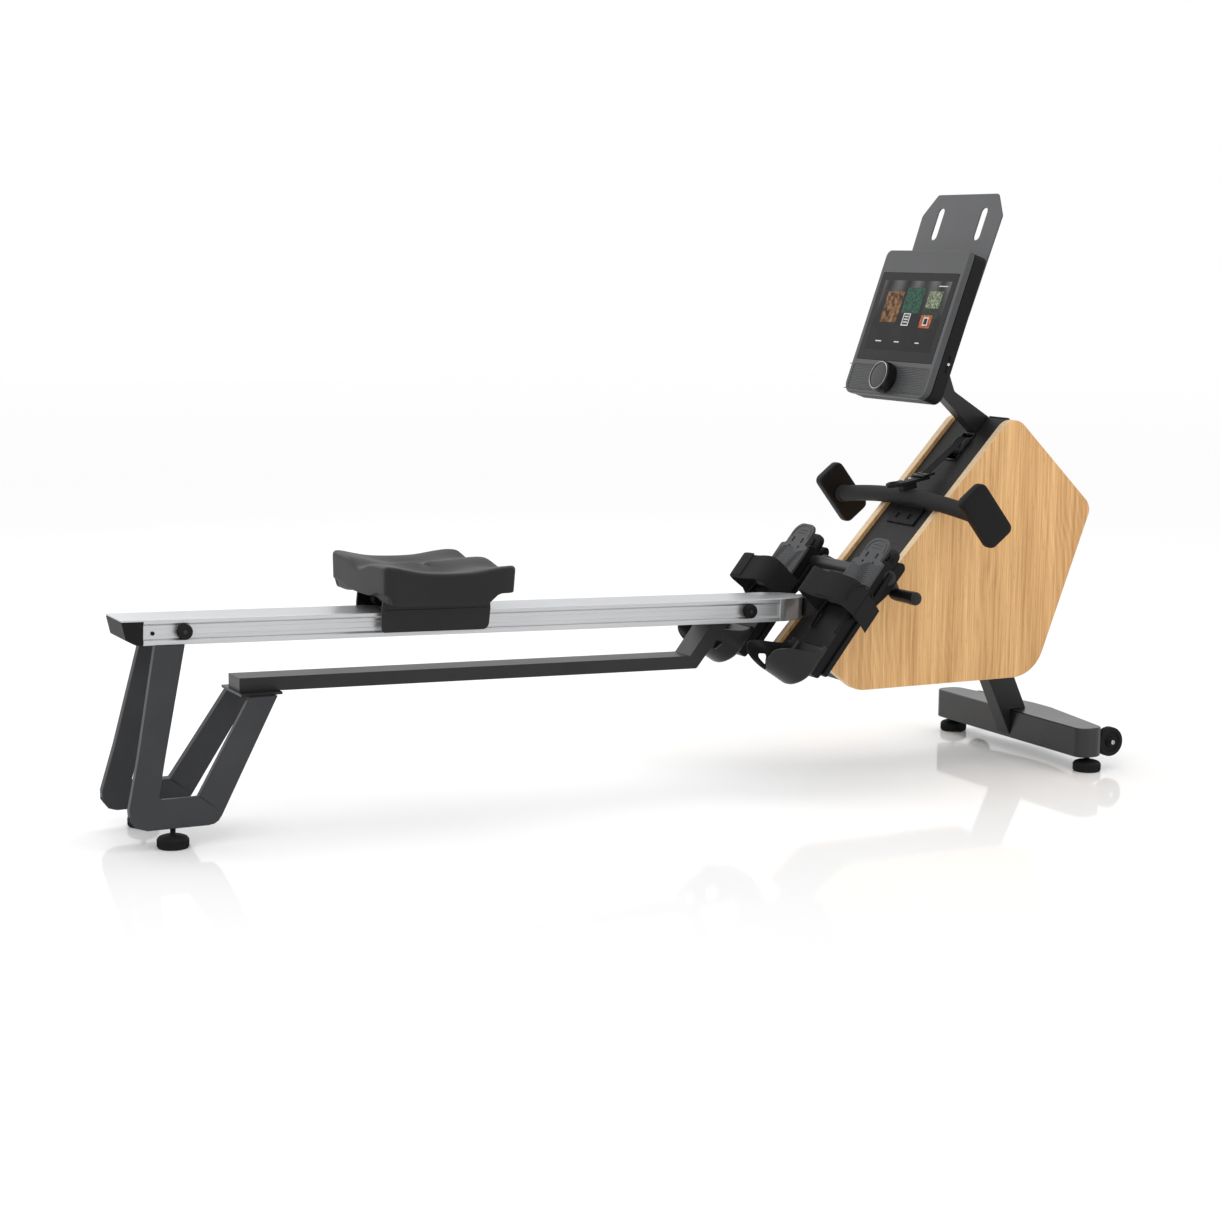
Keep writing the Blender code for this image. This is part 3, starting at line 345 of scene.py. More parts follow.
def softCopy(name, node, width, segments=3, angle=32, tidy=True):
    # the node's own shape with its loose triangles merged and its edges rounded
    obj = newObject(name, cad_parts[node].data.copy())
    bm = bmesh.new()
    bm.from_mesh(obj.data)
    bmesh.ops.remove_doubles(bm, verts=bm.verts, dist=0.00002)
    if tidy:
        bmesh.ops.dissolve_limit(bm, angle_limit=math.radians(1), verts=bm.verts, edges=bm.edges)
    bm.to_mesh(obj.data)
    bm.free()
    return rounded(obj, width, segments, angle)


def prism(name, outline, low, high, axis="Y", place=None):
    turns = {"Y": lambda a, b, c: (a, c, b), "X": lambda a, b, c: (c, a, b), "Z": lambda a, b, c: (a, b, c)}
    bm = bmesh.new()
    base = bm.faces.new([bm.verts.new(turns[axis](a, b, low)) for a, b in outline])
    made = bmesh.ops.extrude_face_region(bm, geom=[base])
    moved = [g for g in made["geom"] if isinstance(g, bmesh.types.BMVert)]
    shift = Vector(turns[axis](0, 0, high)) - Vector(turns[axis](0, 0, low))
    bmesh.ops.translate(bm, verts=moved, vec=shift)
    bmesh.ops.recalc_face_normals(bm, faces=bm.faces)
    return fromBm(name, bm, place)


def block(name, low, high, place=None, width=0.0, segments=3):
    outline = [(low[0], low[1]), (high[0], low[1]), (high[0], high[1]), (low[0], high[1])]
    obj = prism(name, outline, low[2], high[2], "Z", place)
    return rounded(obj, width, segments) if width else obj


def roundedOutline(corners, radii, steps=6):
    points = []
    count = len(corners)
    for i in range(count):
        here = Vector(corners[i])
        before = Vector(corners[i - 1]) - here
        after = Vector(corners[(i + 1) % count]) - here
        if radii[i] <= 0:
            points.append(tuple(here))
            continue
        a = before.normalized()
        b = after.normalized()
        half = math.acos(max(-1.0, min(1.0, a.dot(b)))) / 2
        reach = min(radii[i] / math.tan(half), before.length * 0.49, after.length * 0.49)
        radius = reach * math.tan(half)
        centre = here + (a + b).normalized() * (radius / math.sin(half))
        start = here + a * reach - centre
        end = here + b * reach - centre
        sweep = start.angle(end)
        for k in range(steps + 1):
            t = k / steps
            spot = (start * (math.sin((1 - t) * sweep) / math.sin(sweep))
                    + end * (math.sin(t * sweep) / math.sin(sweep)))
            points.append(tuple(centre + spot))
    return points


def lathe(name, profile, centre, axis="Y", place=None, steps=64, closed=False):
    # turns (radius, height) pairs about an axis; a zero radius closes the end
    turns = {"Z": lambda x, y, h: (x, y, h), "Y": lambda x, y, h: (x, h, -y), "X": lambda x, y, h: (h, y, -x)}
    bm = bmesh.new()
    rings = []
    for radius, height in profile:
        if radius < 1e-7:
            rings.append([bm.verts.new(turns[axis](0, 0, height))] * steps)
        else:
            rings.append([bm.verts.new(turns[axis](radius * math.cos(math.tau * k / steps),
                                                   radius * math.sin(math.tau * k / steps), height))
                          for k in range(steps)])
    pairs = list(zip(rings, rings[1:])) + ([(rings[-1], rings[0])] if closed else [])
    for upper, lower in pairs:
        for k in range(steps):
            corners = [upper[k], upper[(k + 1) % steps], lower[(k + 1) % steps], lower[k]]
            unique = list(dict.fromkeys(corners))
            if len(unique) > 2:
                bm.faces.new(unique)
    bmesh.ops.recalc_face_normals(bm, faces=bm.faces)
    bmesh.ops.translate(bm, verts=bm.verts, vec=centre)
    return fromBm(name, bm, place)


def joined(name, objs):
    bm = bmesh.new()
    for obj in objs:
        mesh = obj.data
        bm.from_mesh(mesh)
        bpy.data.objects.remove(obj, do_unlink=True)
    return fromBm(name, bm)


def cut(obj, *tools, operation="DIFFERENCE"):
    for tool in tools:
        modifier = obj.modifiers.new("cut", "BOOLEAN")
        modifier.operation = operation
        modifier.solver = "EXACT"
        modifier.object = tool
        obj = baked(obj)
        bpy.data.objects.remove(tool, do_unlink=True)
    return obj


def ordered(a, b):
    return (min(a, b), max(a, b))


# Geometry Nodes makers for what repeats
def growTree(name, inputs, grow):
    tree = bpy.data.node_groups.new(name, "GeometryNodeTree")
    face = tree.interface
    face.new_socket("Geometry", in_out="INPUT", socket_type="NodeSocketGeometry")
    kinds = {"INT": "NodeSocketInt", "FLOAT": "NodeSocketFloat", "VECTOR": "NodeSocketVector",
             "MATERIAL": "NodeSocketMaterial", "OBJECT": "NodeSocketObject"}
    for label, kind in inputs.items():
        face.new_socket(label, in_out="INPUT", socket_type=kinds[kind])
    face.new_socket("Geometry", in_out="OUTPUT", socket_type="NodeSocketGeometry")
    entry = tree.nodes.new("NodeGroupInput")

    def node(kind, settings=None, values=None):
        made = tree.nodes.new(kind)
        for key, value in (settings or {}).items():
            setattr(made, key, value)
        for key, value in (values or {}).items():
            if isinstance(value, bpy.types.NodeSocket):
                tree.links.new(value, made.inputs[key])
            else:
                made.inputs[key].default_value = value
        return made

    copies = grow(node, entry.outputs)
    real = node("GeometryNodeRealizeInstances", None, {"Geometry": copies})
    coloured = node("GeometryNodeSetMaterial", None, {"Geometry": real.outputs[0],
                                                      "Material": entry.outputs["Material"]})
    way = tree.nodes.new("NodeGroupOutput")
    tree.links.new(coloured.outputs[0], way.inputs[0])
    return tree


def growRow(node, given):
    # half-round bars side by side, standing a little out of a face
    line = node("GeometryNodeMeshLine", {"mode": "OFFSET"},
                {"Count": given["Count"], "Start Location": given["Start"], "Offset": given["Step"]})
    bar = node("GeometryNodeMeshCylinder", {"fill_type": "TRIANGLE_FAN"},
               {"Vertices": 12, "Radius": 1.0, "Depth": 1.0})
    put = node("GeometryNodeInstanceOnPoints", None,
               {"Points": line.outputs[0], "Instance": bar.outputs[0], "Rotation": given["Turn"],
                "Scale": given["Size"]})
    return put.outputs[0]


def growRing(node, given):
    # upright bars around a circle, for knurls and ridged rims
    ring = node("GeometryNodeMeshCircle", None, {"Vertices": given["Count"], "Radius": given["Radius"]})
    bar = node("GeometryNodeMeshCylinder", {"fill_type": "TRIANGLE_FAN"},
               {"Vertices": 8, "Radius": 1.0, "Depth": 1.0})
    put = node("GeometryNodeInstanceOnPoints", None,
               {"Points": ring.outputs[0], "Instance": bar.outputs[0], "Scale": given["Size"]})
    return put.outputs[0]


def growSpots(node, given):
    # copies of one small piece on given points, each turned to the point's own direction
    facing = node("GeometryNodeInputNamedAttribute", {"data_type": "FLOAT_VECTOR"}, {"Name": "facing"})
    turn = node("FunctionNodeAlignRotationToVector", {"axis": "Z"}, {"Vector": facing.outputs[0]})
    model = node("GeometryNodeObjectInfo", None, {"Object": given["Model"]})
    put = node("GeometryNodeInstanceOnPoints", None,
               {"Points": given["Geometry"], "Instance": model.outputs["Geometry"],
                "Rotation": turn.outputs[0],
                "Scale": given["Size"]})
    return put.outputs[0]


rowTree = growTree("bars in a row", {"Count": "INT", "Start": "VECTOR", "Step": "VECTOR", "Size": "VECTOR",
                                     "Turn": "VECTOR", "Material": "MATERIAL"}, growRow)
ringTree = growTree("bars in a ring", {"Count": "INT", "Radius": "FLOAT", "Size": "VECTOR",
                                       "Material": "MATERIAL"}, growRing)
spotTree = growTree("pieces on spots", {"Model": "OBJECT", "Size": "VECTOR", "Material": "MATERIAL"},
                    growSpots)


def grown(name, tree, given, points=None, place=None):
    mesh = bpy.data.meshes.new(name)
    if points:
        mesh.from_pydata([spot for spot, way in points], [], [])
        facing = mesh.attributes.new("facing", "FLOAT_VECTOR", "POINT")
        for k, (spot, way) in enumerate(points):
            facing.data[k].vector = way
    obj = newObject(name, mesh)
    modifier = obj.modifiers.new("grow", "NODES")
    modifier.node_group = tree
    for item in tree.interface.items_tree:
        if item.item_type == "SOCKET" and item.in_out == "INPUT" and item.name in given:
            modifier[item.identifier] = given[item.name]
    obj = baked(obj)
    if place is not None:
        obj.data.transform(place)
    return obj


def row(name, look, count, start, step, size, turn=(0, 0, 0), place=None):
    return grown(name, rowTree, {"Count": count, "Start": start, "Step": step, "Size": size, "Turn": turn,
                                 "Material": looks[look]}, None, place)


def ring(name, look, count, radius, size, place=None):
    return grown(name, ringTree, {"Count": count, "Radius": radius, "Size": size, "Material": looks[look]},
                 None, place)


def capScrewModel():
    outer = lathe("screwModel", [(0.48, 0.30), (0.55, 0.72), (0.86, 0.72), (1.0, 0.52), (1.0, -0.2),
                                 (0, -0.2)],
                  (0, 0, 0), "Z", steps=18)
    bm = bmesh.new()
    bm.from_mesh(outer.data)
    bmesh.ops.contextual_create(bm, geom=[e for e in bm.edges if e.is_boundary])
    bm.to_mesh(outer.data)
    bm.free()
    outer.hide_render = True
    return outer


screwModel = capScrewModel()


def screws(name, look, body, size, spots, place=Matrix.Identity(4)):
    turned = [(place @ Vector(spot), place.to_3x3() @ Vector(way)) for spot, way in spots]
    obj = grown(name, spotTree, {"Model": screwModel, "Size": (size, size, size), "Material": looks[look]},
                turned)
    return dressed(obj, None, body)


def tubeAlong(name, spots, radius, place=None, steps=24, ends=True):
    # a round bar along a smooth line through the spots, with domed ends
    line = smoothLine(spots, 8)
    bm = bmesh.new()
    rings = []
    side = None
    count = len(line)
    dome = [(0.30, 0.985), (0.62, 0.78), (0.86, 0.50), (0.985, 0.17)] if ends else []
    stations = []
    first = (line[0] - line[1]).normalized()
    last = (line[-1] - line[-2]).normalized()
    for scale, reach in dome:
        stations.append((line[0] + first * radius * reach * 0.45, scale))
    stations += [(p, 1.0) for p in line]
    for scale, reach in reversed(dome):
        stations.append((line[-1] + last * radius * reach * 0.45, scale))
    for k, (spot, scale) in enumerate(stations):
        before = stations[max(k - 1, 0)][0]
        after = stations[min(k + 1, len(stations) - 1)][0]
        along = (after - before).normalized()
        if side is None:
            side = along.orthogonal().normalized()
        side = (side - along * side.dot(along)).normalized()
        up = along.cross(side)
        rings.append([bm.verts.new(spot + (side * math.cos(math.tau * j / steps) + up * math.sin(math.tau * j / steps))
                                   * radius * scale) for j in range(steps)])
    for a, b in zip(rings, rings[1:]):
        for j in range(steps):
            bm.faces.new((a[j], a[(j + 1) % steps], b[(j + 1) % steps], b[j]))
    bm.faces.new(rings[0])
    bm.faces.new(rings[-1])
    bmesh.ops.recalc_face_normals(bm, faces=bm.faces)
    return fromBm(name, bm, place)


def smoothLine(spots, steps):
    points = [Vector(s) for s in spots]
    line = []
    for k in range(len(points) - 1):
        p0 = points[max(k - 1, 0)]
        p1 = points[k]
        p2 = points[k + 1]
        p3 = points[min(k + 2, len(points) - 1)]
        for j in range(steps):
            t = j / steps
            line.append(0.5 * ((2 * p1) + (p2 - p0) * t + (2 * p0 - 5 * p1 + 4 * p2 - p3) * t * t
                               + (3 * p1 - p0 - 3 * p2 + p3) * t ** 3))
    line.append(points[-1])
    return line


def ribbon(name, line, across, width, thick, place=None):
    # a woven band: a thin rounded section along a line, mapped in metres for its weave
    section = [(-0.5, 0.0), (-0.485, 0.42), (-0.40, 0.5), (0, 0.5), (0.40, 0.5), (0.485, 0.42), (0.5, 0.0),
               (0.485, -0.42), (0.40, -0.5), (0, -0.5), (-0.40, -0.5), (-0.485, -0.42)]
    bm = bmesh.new()
    layer = bm.loops.layers.uv.new("UVMap")
    rings = []
    runs = [0.0]
    for a, b in zip(line, line[1:]):
        runs.append(runs[-1] + (Vector(b) - Vector(a)).length)
    for k, spot in enumerate(line):
        before = Vector(line[max(k - 1, 0)])
        after = Vector(line[min(k + 1, len(line) - 1)])
        along = (after - before).normalized()
        side = Vector(across[k] if isinstance(across, list) else across).normalized()
        up = along.cross(side).normalized()
        rings.append([bm.verts.new(Vector(spot) + side * a * width + up * b * thick) for a, b in section])
    size = len(section)
    for k, (a, b) in enumerate(zip(rings, rings[1:])):
        for j in range(size):
            face = bm.faces.new((a[j], a[(j + 1) % size], b[(j + 1) % size], b[j]))
            spots = [(runs[k], j), (runs[k], j + 1), (runs[k + 1], j + 1), (runs[k + 1], j)]
            for loop, (run, step) in zip(face.loops, spots):
                loop[layer].uv = (run, section[step % size][0] * width)
    bm.faces.new(rings[0])
    bm.faces.new(rings[-1])
    bmesh.ops.recalc_face_normals(bm, faces=bm.faces)
    return fromBm(name, bm, place)


print("makers ready")

# Stage, lights and camera
bpy.context.scene.view_settings.view_transform = "Standard"
stage = {"floorTone": 0.95, "worldLight": 1.0, "key": 22, "rim": 14, "top": 26, "fill": 6}
floorMesh = block("studioFloor", (-14, -14, -0.02), (14, 14, 0.0))
floorLook = bpy.data.materials.new("paleFloor")
floorLook.use_nodes = True
floorShader = floorLook.node_tree.nodes["Principled BSDF"]
floorShader.inputs["Base Color"].default_value = grey(stage["floorTone"])
floorShader.inputs["Roughness"].default_value = 0.06
floorShader.inputs["IOR"].default_value = 1.20
floorMesh.data.materials.append(floorLook)
floorMesh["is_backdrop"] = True
world = bpy.data.worlds.new("studio")
bpy.context.scene.world = world
world.use_nodes = True
world.node_tree.nodes["Background"].inputs[0].default_value = (1, 1, 1, 1)
world.node_tree.nodes["Background"].inputs[1].default_value = stage["worldLight"]


def softLight(name, spot, aim, size, power):
    lamp = bpy.data.lights.new(name, "AREA")
    lamp.shape = "RECTANGLE"
    lamp.size, lamp.size_y = size
    lamp.energy = power
    obj = newObject(name, lamp)
    obj.location = spot
    obj.rotation_euler = (Vector(aim) - Vector(spot)).to_track_quat("-Z", "Y").to_euler()


softLight("keyLight", (-2.4, -3.4, 3.2), (0, 0, 0.4), (2.5, 2.0), stage["key"])
softLight("topLight", (0.2, 0.6, 3.4), (0, 0, 0.3), (3.5, 2.0), stage["top"])
softLight("rimLight", (-1.2, 3.2, 2.0), (0, 0, 0.5), (3.0, 1.5), stage["rim"])
softLight("fillLight", (2.8, -2.2, 1.4), (0.5, 0, 0.5), (1.5, 1.5), stage["fill"])

forward = Vector((0.44978, 0.88136, -0.14458)).normalized()
right = Vector((0.89131, -0.45328, 0.00958)).normalized()
up = right.cross(forward).normalized()
lens = bpy.data.cameras.new("camera")
lens.sensor_width = 36
lens.lens = 2452.8 / 1220 * 36
lens.clip_end = 60
camera = newObject("camera", lens)
turn = Matrix((right, up, -forward)).transposed().to_4x4()
camera.matrix_world = Matrix.Translation((-1.1455 - middleX, -4.0029, 0.9983)) @ turn
bpy.context.scene.camera = camera
print("stage and camera set")

# Rail, end cap, nose and stops
railShape = {"length": 1.235}
halfRail = [(0.0485, 0.0), (0.0485, -0.0068), (0.0472, -0.0082), (0.0435, -0.0100), (0.0435, -0.0335),
            (0.0470, -0.0345), (0.0485, -0.0358), (0.0485, -0.0435)]
halfRadii = [0.0016, 0.0008, 0.0005, 0.0015, 0.0015, 0.0005, 0.0006, 0.0010]
railLine = roundedOutline(halfRail + [(-y, z) for y, z in reversed(halfRail)], halfRadii + halfRadii[::-1], 4)
railPiece = prism("railBar", railLine, 0.0, railShape["length"], "X", railFrame)
lip = block("railLip", (-0.0378, -0.0484, -0.0030), (0.004, 0.0484, -0.0001), railFrame, 0.0008, 2)
railPiece = cut(railPiece, lip, operation="UNION")
dressed(railPiece, "rail", "frame", ["rail"], 30)
grooves = []
for s in (-1, 1):
    for z in (-0.0166, -0.0268):
        grooves.append(tubeAlong("railBead",
                                 [(0.002, s * 0.0433, z), (0.6, s * 0.0433, z), (1.233, s * 0.0433, z)],
                                 0.0006, railFrame, 8, False))
dressed(joined("railBeads", grooves), "rail", "frame")
dressed(softCopy("railEndCap", "rail_end_cap", 0.0018, 4), "mould", "frame",
        ["rail_end_cap"])
dressed(softCopy("railNose", "rail_nose", 0.0014, 3), "rail", "frame", ["rail_nose"])

stopShape = {"ridges": 22, "x": (0.069, 1.167)}
stopProfile = [(0, 0.0118), (0.0036, 0.0118), (0.0036, 0.0158), (0.0060, 0.0172), (0.0098, 0.0172),
               (0.0126, 0.0154),
               (0.0128, 0.0100), (0.0128, 0.0058), (0.0108, 0.0056), (0.0108, 0.0003), (0, 0.0003)]
for end, x in zip(("rear", "front"), stopShape["x"]):
    for side, s in sides.items():
        spot = railFrame @ Matrix.Translation((x, s * 0.0435,
                                               -0.021)) @ Matrix.Rotation(math.radians(-90 * s), 4, "X")
        plug = lathe("stopPlug", stopProfile, (0, 0, 0), "Z", spot, 48)
        ridges = ring("stopRidges", "rubber", stopShape["ridges"], 0.0126, (0.0011, 0.0011, 0.0078),
                      spot @ Matrix.Translation((0, 0, 0.0102)))
        dressed(joined(f"railStop_{end}_{side}", [plug, ridges]), "rubber", "frame",
                [f"stop_{end}_{side}"])
        screws(f"stopScrew_{end}_{side}", "footplate", "frame", 0.0040,
               [((0, 0, 0.0122), (0, 0, 1))],
               spot)
for side, s in sides.items():
    screws(f"capPin_{side}", "mould", "frame", 0.0034,
           [((0.0165, s * 0.0437, -0.0235), (0, s, 0))],
           railFrame)
print("rail done")

# Legs, beam, base, strut, feet and wheels
for side in sides:
    dressed(softCopy(f"rearLeg_{side}", f"rear_leg_{side}", 0.0022, 4, 28), "leg", "frame",
            [f"rear_leg_{side}"])
dressed(softCopy("lowerBeam", "lower_beam", 0.0018, 4, 28), "beam", "frame",
        ["lower_beam"])
dressed(softCopy("strutPost", "strut", 0.0018, 4, 28), "beam", "frame", ["strut"])
dressed(softCopy("railNeck", "neck", 0.0012, 3, 28), "beam", "frame", ["neck"])

basePlan = [(1.800, -0.250), (1.856, -0.250), (1.894, -0.030), (1.894, 0.030), (1.856, 0.250), (1.800, 0.250)]
baseBar = prism("frontBase", roundedOutline(basePlan, [0.022, 0.024, 0.05, 0.05, 0.024, 0.022], 12),
                0.0305, 0.0885,
                "Z", floorFrame)
baseBar = rounded(baseBar, 0.0028, 4)
dressed(baseBar, "base", "frame", ["front_base"])
forks = []
for side, s in sides.items():
    y0, y1 = ordered(s * 0.2040, s * 0.2078)
    forks.append(block("wheelEar", (1.853, y0, 0.037), (1.906, y1, 0.067), floorFrame, 0.0012, 3))
    forks.append(lathe("wheelPin", [(0, 0.0112), (0.0038, 0.0112), (0.0040, 0.0108), (0.0040, -0.0120),
                                    (0, -0.0120)],
                       (1.893, s * 0.218, 0.052), "Y", floorFrame, 24))
dressed(joined("wheelForks", forks), "beam", "frame")

for side, s in sides.items():
    at = (1.893, s * 0.218, 0.052)
    tread = [(0.0205, 0.0080), (0.0262, 0.0085), (0.0282, 0.0074), (0.0290, 0.0052), (0.0290, 0.0014),
             (0.0281, 0.0008),
             (0.0281, -0.0008), (0.0290, -0.0014), (0.0290, -0.0052), (0.0282, -0.0074), (0.0262, -0.0085),
             (0.0205, -0.0080)]
    tyre = lathe("tyre", tread, at, "Y", floorFrame, 64, True)
    hub = lathe("hub", [(0.0043, 0.0088), (0.0092, 0.0088), (0.0104, 0.0070), (0.0120, 0.0050),
                        (0.0186, 0.0050),
                        (0.0204, 0.0072), (0.0204, -0.0072), (0.0186, -0.0050), (0.0120, -0.0050),
                        (0.0104, -0.0070),
                        (0.0092, -0.0088), (0.0043, -0.0088)], at, "Y", floorFrame, 64, True)
    wheel = joined(f"transportWheel_{side}", [tyre])
    dressed(wheel, "rubber", f"wheel_{sideWord[side]}", [f"wheel_{side}"])
    dressed(hub, "mould", f"wheel_{sideWord[side]}").name = f"wheelHub_{side}"
    screws(f"wheelBolt_{side}", "steel", "frame", 0.0046,
           [((1.893, s * 0.2290, 0.052), (0, s, 0))],
           floorFrame)

feet = {"rear": (0.032, 0.0880, 0.043), "front": (1.8345, 0.2267, 0.038)}
for end, (x, y, top) in feet.items():
    for side, s in sides.items():
        profile = [(0, top), (0.0046, top)]
        turns = 9
        for k in range(turns):
            z = top - 0.001 - k * (top - 0.0250) / turns
            profile += [(0.0050, z), (0.0043, z - 0.0008)]
        profile += [(0.0050, 0.0232), (0.0100, 0.0230), (0.0125, 0.0222), (0.0190, 0.0208), (0.0240, 0.0188),
                    (0.0262, 0.0164), (0.0264, 0.0150), (0.0264, 0.0020), (0.0252, 0.0), (0, 0.0)]
        disc = lathe("footDisc", profile, (x, s * y, 0), "Z", floorFrame, 56)
        rim = ring("footRim", "rubber", 44, 0.0262, (0.0011, 0.0011, 0.0118),
                   floorFrame @ Matrix.Translation((x, s * y, 0.0088)))
        dressed(joined(f"levelFoot_{end}_{side}", [disc, rim]), "rubber", f"{end}_foot_{sideWord[side]}",
                [f"foot_{end}_{side}"])
print("stand done")

# Housing: oak panels with a paler cut edge, black cover, twill strip, strap slot and handle rest
panelShape = {"corners": [(1.298, 0.230), (1.376, 0.171), (1.795, 0.171), (1.922, 0.506), (1.726, 0.696)],
              "radii": [0.012, 0.060, 0.075, 0.030, 0.035], "inner": 0.082, "thick": 0.018, "edge": 0.0016}
panelLine = roundedOutline(panelShape["corners"], panelShape["radii"], 14)
for side, s in sides.items():
    low, high = ordered(s * panelShape["inner"], s * (panelShape["inner"] + panelShape["thick"]))
    panel = rounded(prism(f"oakPanel_{side}", panelLine, low, high, "Y", floorFrame), panelShape["edge"], 3)
    panel.data.materials.append(looks["oak"])
    panel.data.materials.append(looks["oakEdge"])
    for polygon in panel.data.polygons:
        polygon.material_index = 0 if abs(polygon.normal.y) > 0.8 else 1
    dressed(panel, None, "frame", [f"side_panel_{side}"])
dressed(softCopy("slopeCover", "slope_cover", 0.0006, 2), "twill", "frame", ["slope_cover"])
dressed(softCopy("backCover", "back_cover", 0.0006, 2), "mould", "frame", ["back_cover"])
dressed(softCopy("restPlate", "handle_rest", 0.0009, 3), "mould", "frame", ["handle_rest"])
print("housing done")

# Seat: saddle-shaped moulded pad with a raised rear lip, a notch behind and two thigh dips in front
seatShape = {"x": (0.397, 0.645), "half": 0.145, "top": 0.0850, "lip": 0.0045, "hollow": 0.0150,
             "notch": 0.0150,
             "thigh": 0.0085, "sag": 0.0070, "edge": 0.0085, "corner": 0.026, "skirt": (0.409, 0.604),
             "skirtZ": 0.0222, "endZ": 0.0400}


def ease(value, low, high):
    t = max(0.0, min(1.0, (value - low) / (high - low)))
    return t * t * (3 - 2 * t)


def seatHeight(x, y):
    mid = sum(seatShape["x"]) / 2
    u = (x - mid) / (seatShape["x"][1] - mid)
    v = abs(y) / seatShape["half"]
    z = seatShape["top"] + seatShape["lip"] * ease(-u, 0.35, 1.0)
    z -= seatShape["sag"] * max(0.0, 1 - u * u) * v ** 1.5
    z -= seatShape["hollow"] * math.exp(-((u + 0.05) / 0.55) ** 2) * math.exp(-((v - 0.42) / 0.34) ** 2)
    z -= seatShape["notch"] * math.exp(-(v / 0.24) ** 2) * ease(-u, 0.25, 1.0)
    z -= seatShape["thigh"] * math.exp(-((v - 0.50) / 0.22) ** 2) * ease(u, 0.35, 1.0)
    z += 0.0050 * v ** 3 * ease(u, 0.25, 0.75) + 0.0025 * v ** 3 * ease(-u, 0.4, 0.9)
    return z + 0.0030 * math.exp(-(v / 0.2) ** 2) * ease(u, 0.3, 0.9)


def seatUnder(x, y):
    if abs(y) < 0.0680:
        return 0.0300
    inside = seatShape["skirt"][0] < x < seatShape["skirt"][1]
    return seatShape["skirtZ"] if inside else seatShape["endZ"]


def roundRect(centre, halfX, halfY, radius, along=14, corner=7):
    spots = []
    for k, (sx, sy) in enumerate(((1, 1), (-1, 1), (-1, -1), (1, -1))):
        radius = min(radius, halfX * 0.98, halfY * 0.98)
        cx = centre[0] + sx * (halfX - radius)
        cy = centre[1] + sy * (halfY - radius)
        for j in range(corner + 1):
            angle = math.radians(90 * k + 90 * j / corner)
            spots.append((cx + radius * math.cos(angle), cy + radius * math.sin(angle)))
        nextSign = ((-1, 1), (-1, -1), (1, -1), (1, 1))[k]
        angle = math.radians(90 * (k + 1))
        ex = centre[0] + nextSign[0] * (halfX - radius) + radius * math.cos(angle)
        ey = centre[1] + nextSign[1] * (halfY - radius) + radius * math.sin(angle)
        sx0, sy0 = spots[-1]
        for j in range(1, along):
            spots.append((sx0 + (ex - sx0) * j / along, sy0 + (ey - sy0) * j / along))
    return spots


def loftRings(name, rings, place=None, levels=1):
    bm = bmesh.new()
    made = [[bm.verts.new(spot) for spot in spots] for spots in rings]
    size = len(made[0])
    for a, b in zip(made, made[1:]):
        for j in range(size):
            bm.faces.new((a[j], a[(j + 1) % size], b[(j + 1) % size], b[j]))
    for spots, flip in ((rings[0], 0), (rings[-1], -1)):
        middle = bm.verts.new([sum(s[i] for s in spots) / len(spots) for i in range(3)])
        edge = made[flip]
        for j in range(size):
            bm.faces.new((edge[j], edge[(j + 1) % size], middle))
    bmesh.ops.recalc_face_normals(bm, faces=bm.faces)
    obj = fromBm(name, bm, place)
    if levels:
        modifier = obj.modifiers.new("smooth", "SUBSURF")
        modifier.levels = levels
        modifier.render_levels = levels
        obj = baked(obj)
    return obj


seatMid = (sum(seatShape["x"]) / 2, 0.0)
seatHalf = (seatShape["x"][1] - seatShape["x"][0]) / 2


def seatRing(inset, height):
    return [(x, y, height(x, y)) for x, y in roundRect(seatMid, seatHalf - inset, seatShape["half"] - inset,
                                                      max(seatShape["corner"] - inset, 0.006))]


seatRings = [seatRing(d, seatHeight) for d in (0.116, 0.102, 0.088, 0.074, 0.061, 0.049, 0.038, 0.029,
                                               0.022, 0.016,
                                               0.0115)]
for k in range(1, 6):
    a = math.radians(18 * k)
    edge = seatShape["edge"]
    seatRings.append(seatRing(edge * (1 - math.sin(a)), lambda x,
                              y: seatHeight(x, y) - edge * (1 - math.cos(a))))
for part in (0.25, 0.5, 0.75, 0.93):
    seatRings.append(seatRing(0.002 * part, lambda x, y: (seatHeight(x, y) - seatShape["edge"]) * (1 - part)
                              + seatUnder(x, y) * part))
for d in (0.0022, 0.0040):
    seatRings.append(seatRing(d, seatUnder))
for d in (0.010, 0.0125, 0.018, 0.028, 0.040, 0.045, 0.055, 0.070, 0.0765, 0.079, 0.088, 0.100, 0.116):
    seatRings.append(seatRing(d, seatUnder))
seat = loftRings("seatPad", seatRings, railFrame)
seat = dressed(seat, "seat", "seat", ["seat_pad"], 50)

carriageShape = {"x": (0.420, 0.627), "skirt": (0.0586, 0.0640), "bottom": -0.0345, "top": 0.0280}
skirts = []
for s in (-1, 1):
    y0, y1 = ordered(s * carriageShape["skirt"][0], s * carriageShape["skirt"][1])
    x0, x1 = carriageShape["x"]
    z0, z1 = carriageShape["bottom"], carriageShape["top"]
    outline = roundedOutline([(x0 + 0.002, z1), (x0, 0.004), (x0 + 0.001, z0), (x1 - 0.003, z0), (x1, 0.004),
                              (x1 - 0.002, z1)], [0.002, 0.02, 0.006, 0.012, 0.02, 0.002])
    skirts.append(rounded(prism("skirt", outline, y0, y1, "Y", railFrame), 0.0016, 3))
    bead = [(x0 + 0.006, s * 0.0641, 0.0050), ((x0 + x1) / 2, s * 0.0641, 0.0046),
            (x1 - 0.006, s * 0.0641, 0.0050)]
    skirts.append(tubeAlong("skirtBead", bead, 0.0009, railFrame, 10))
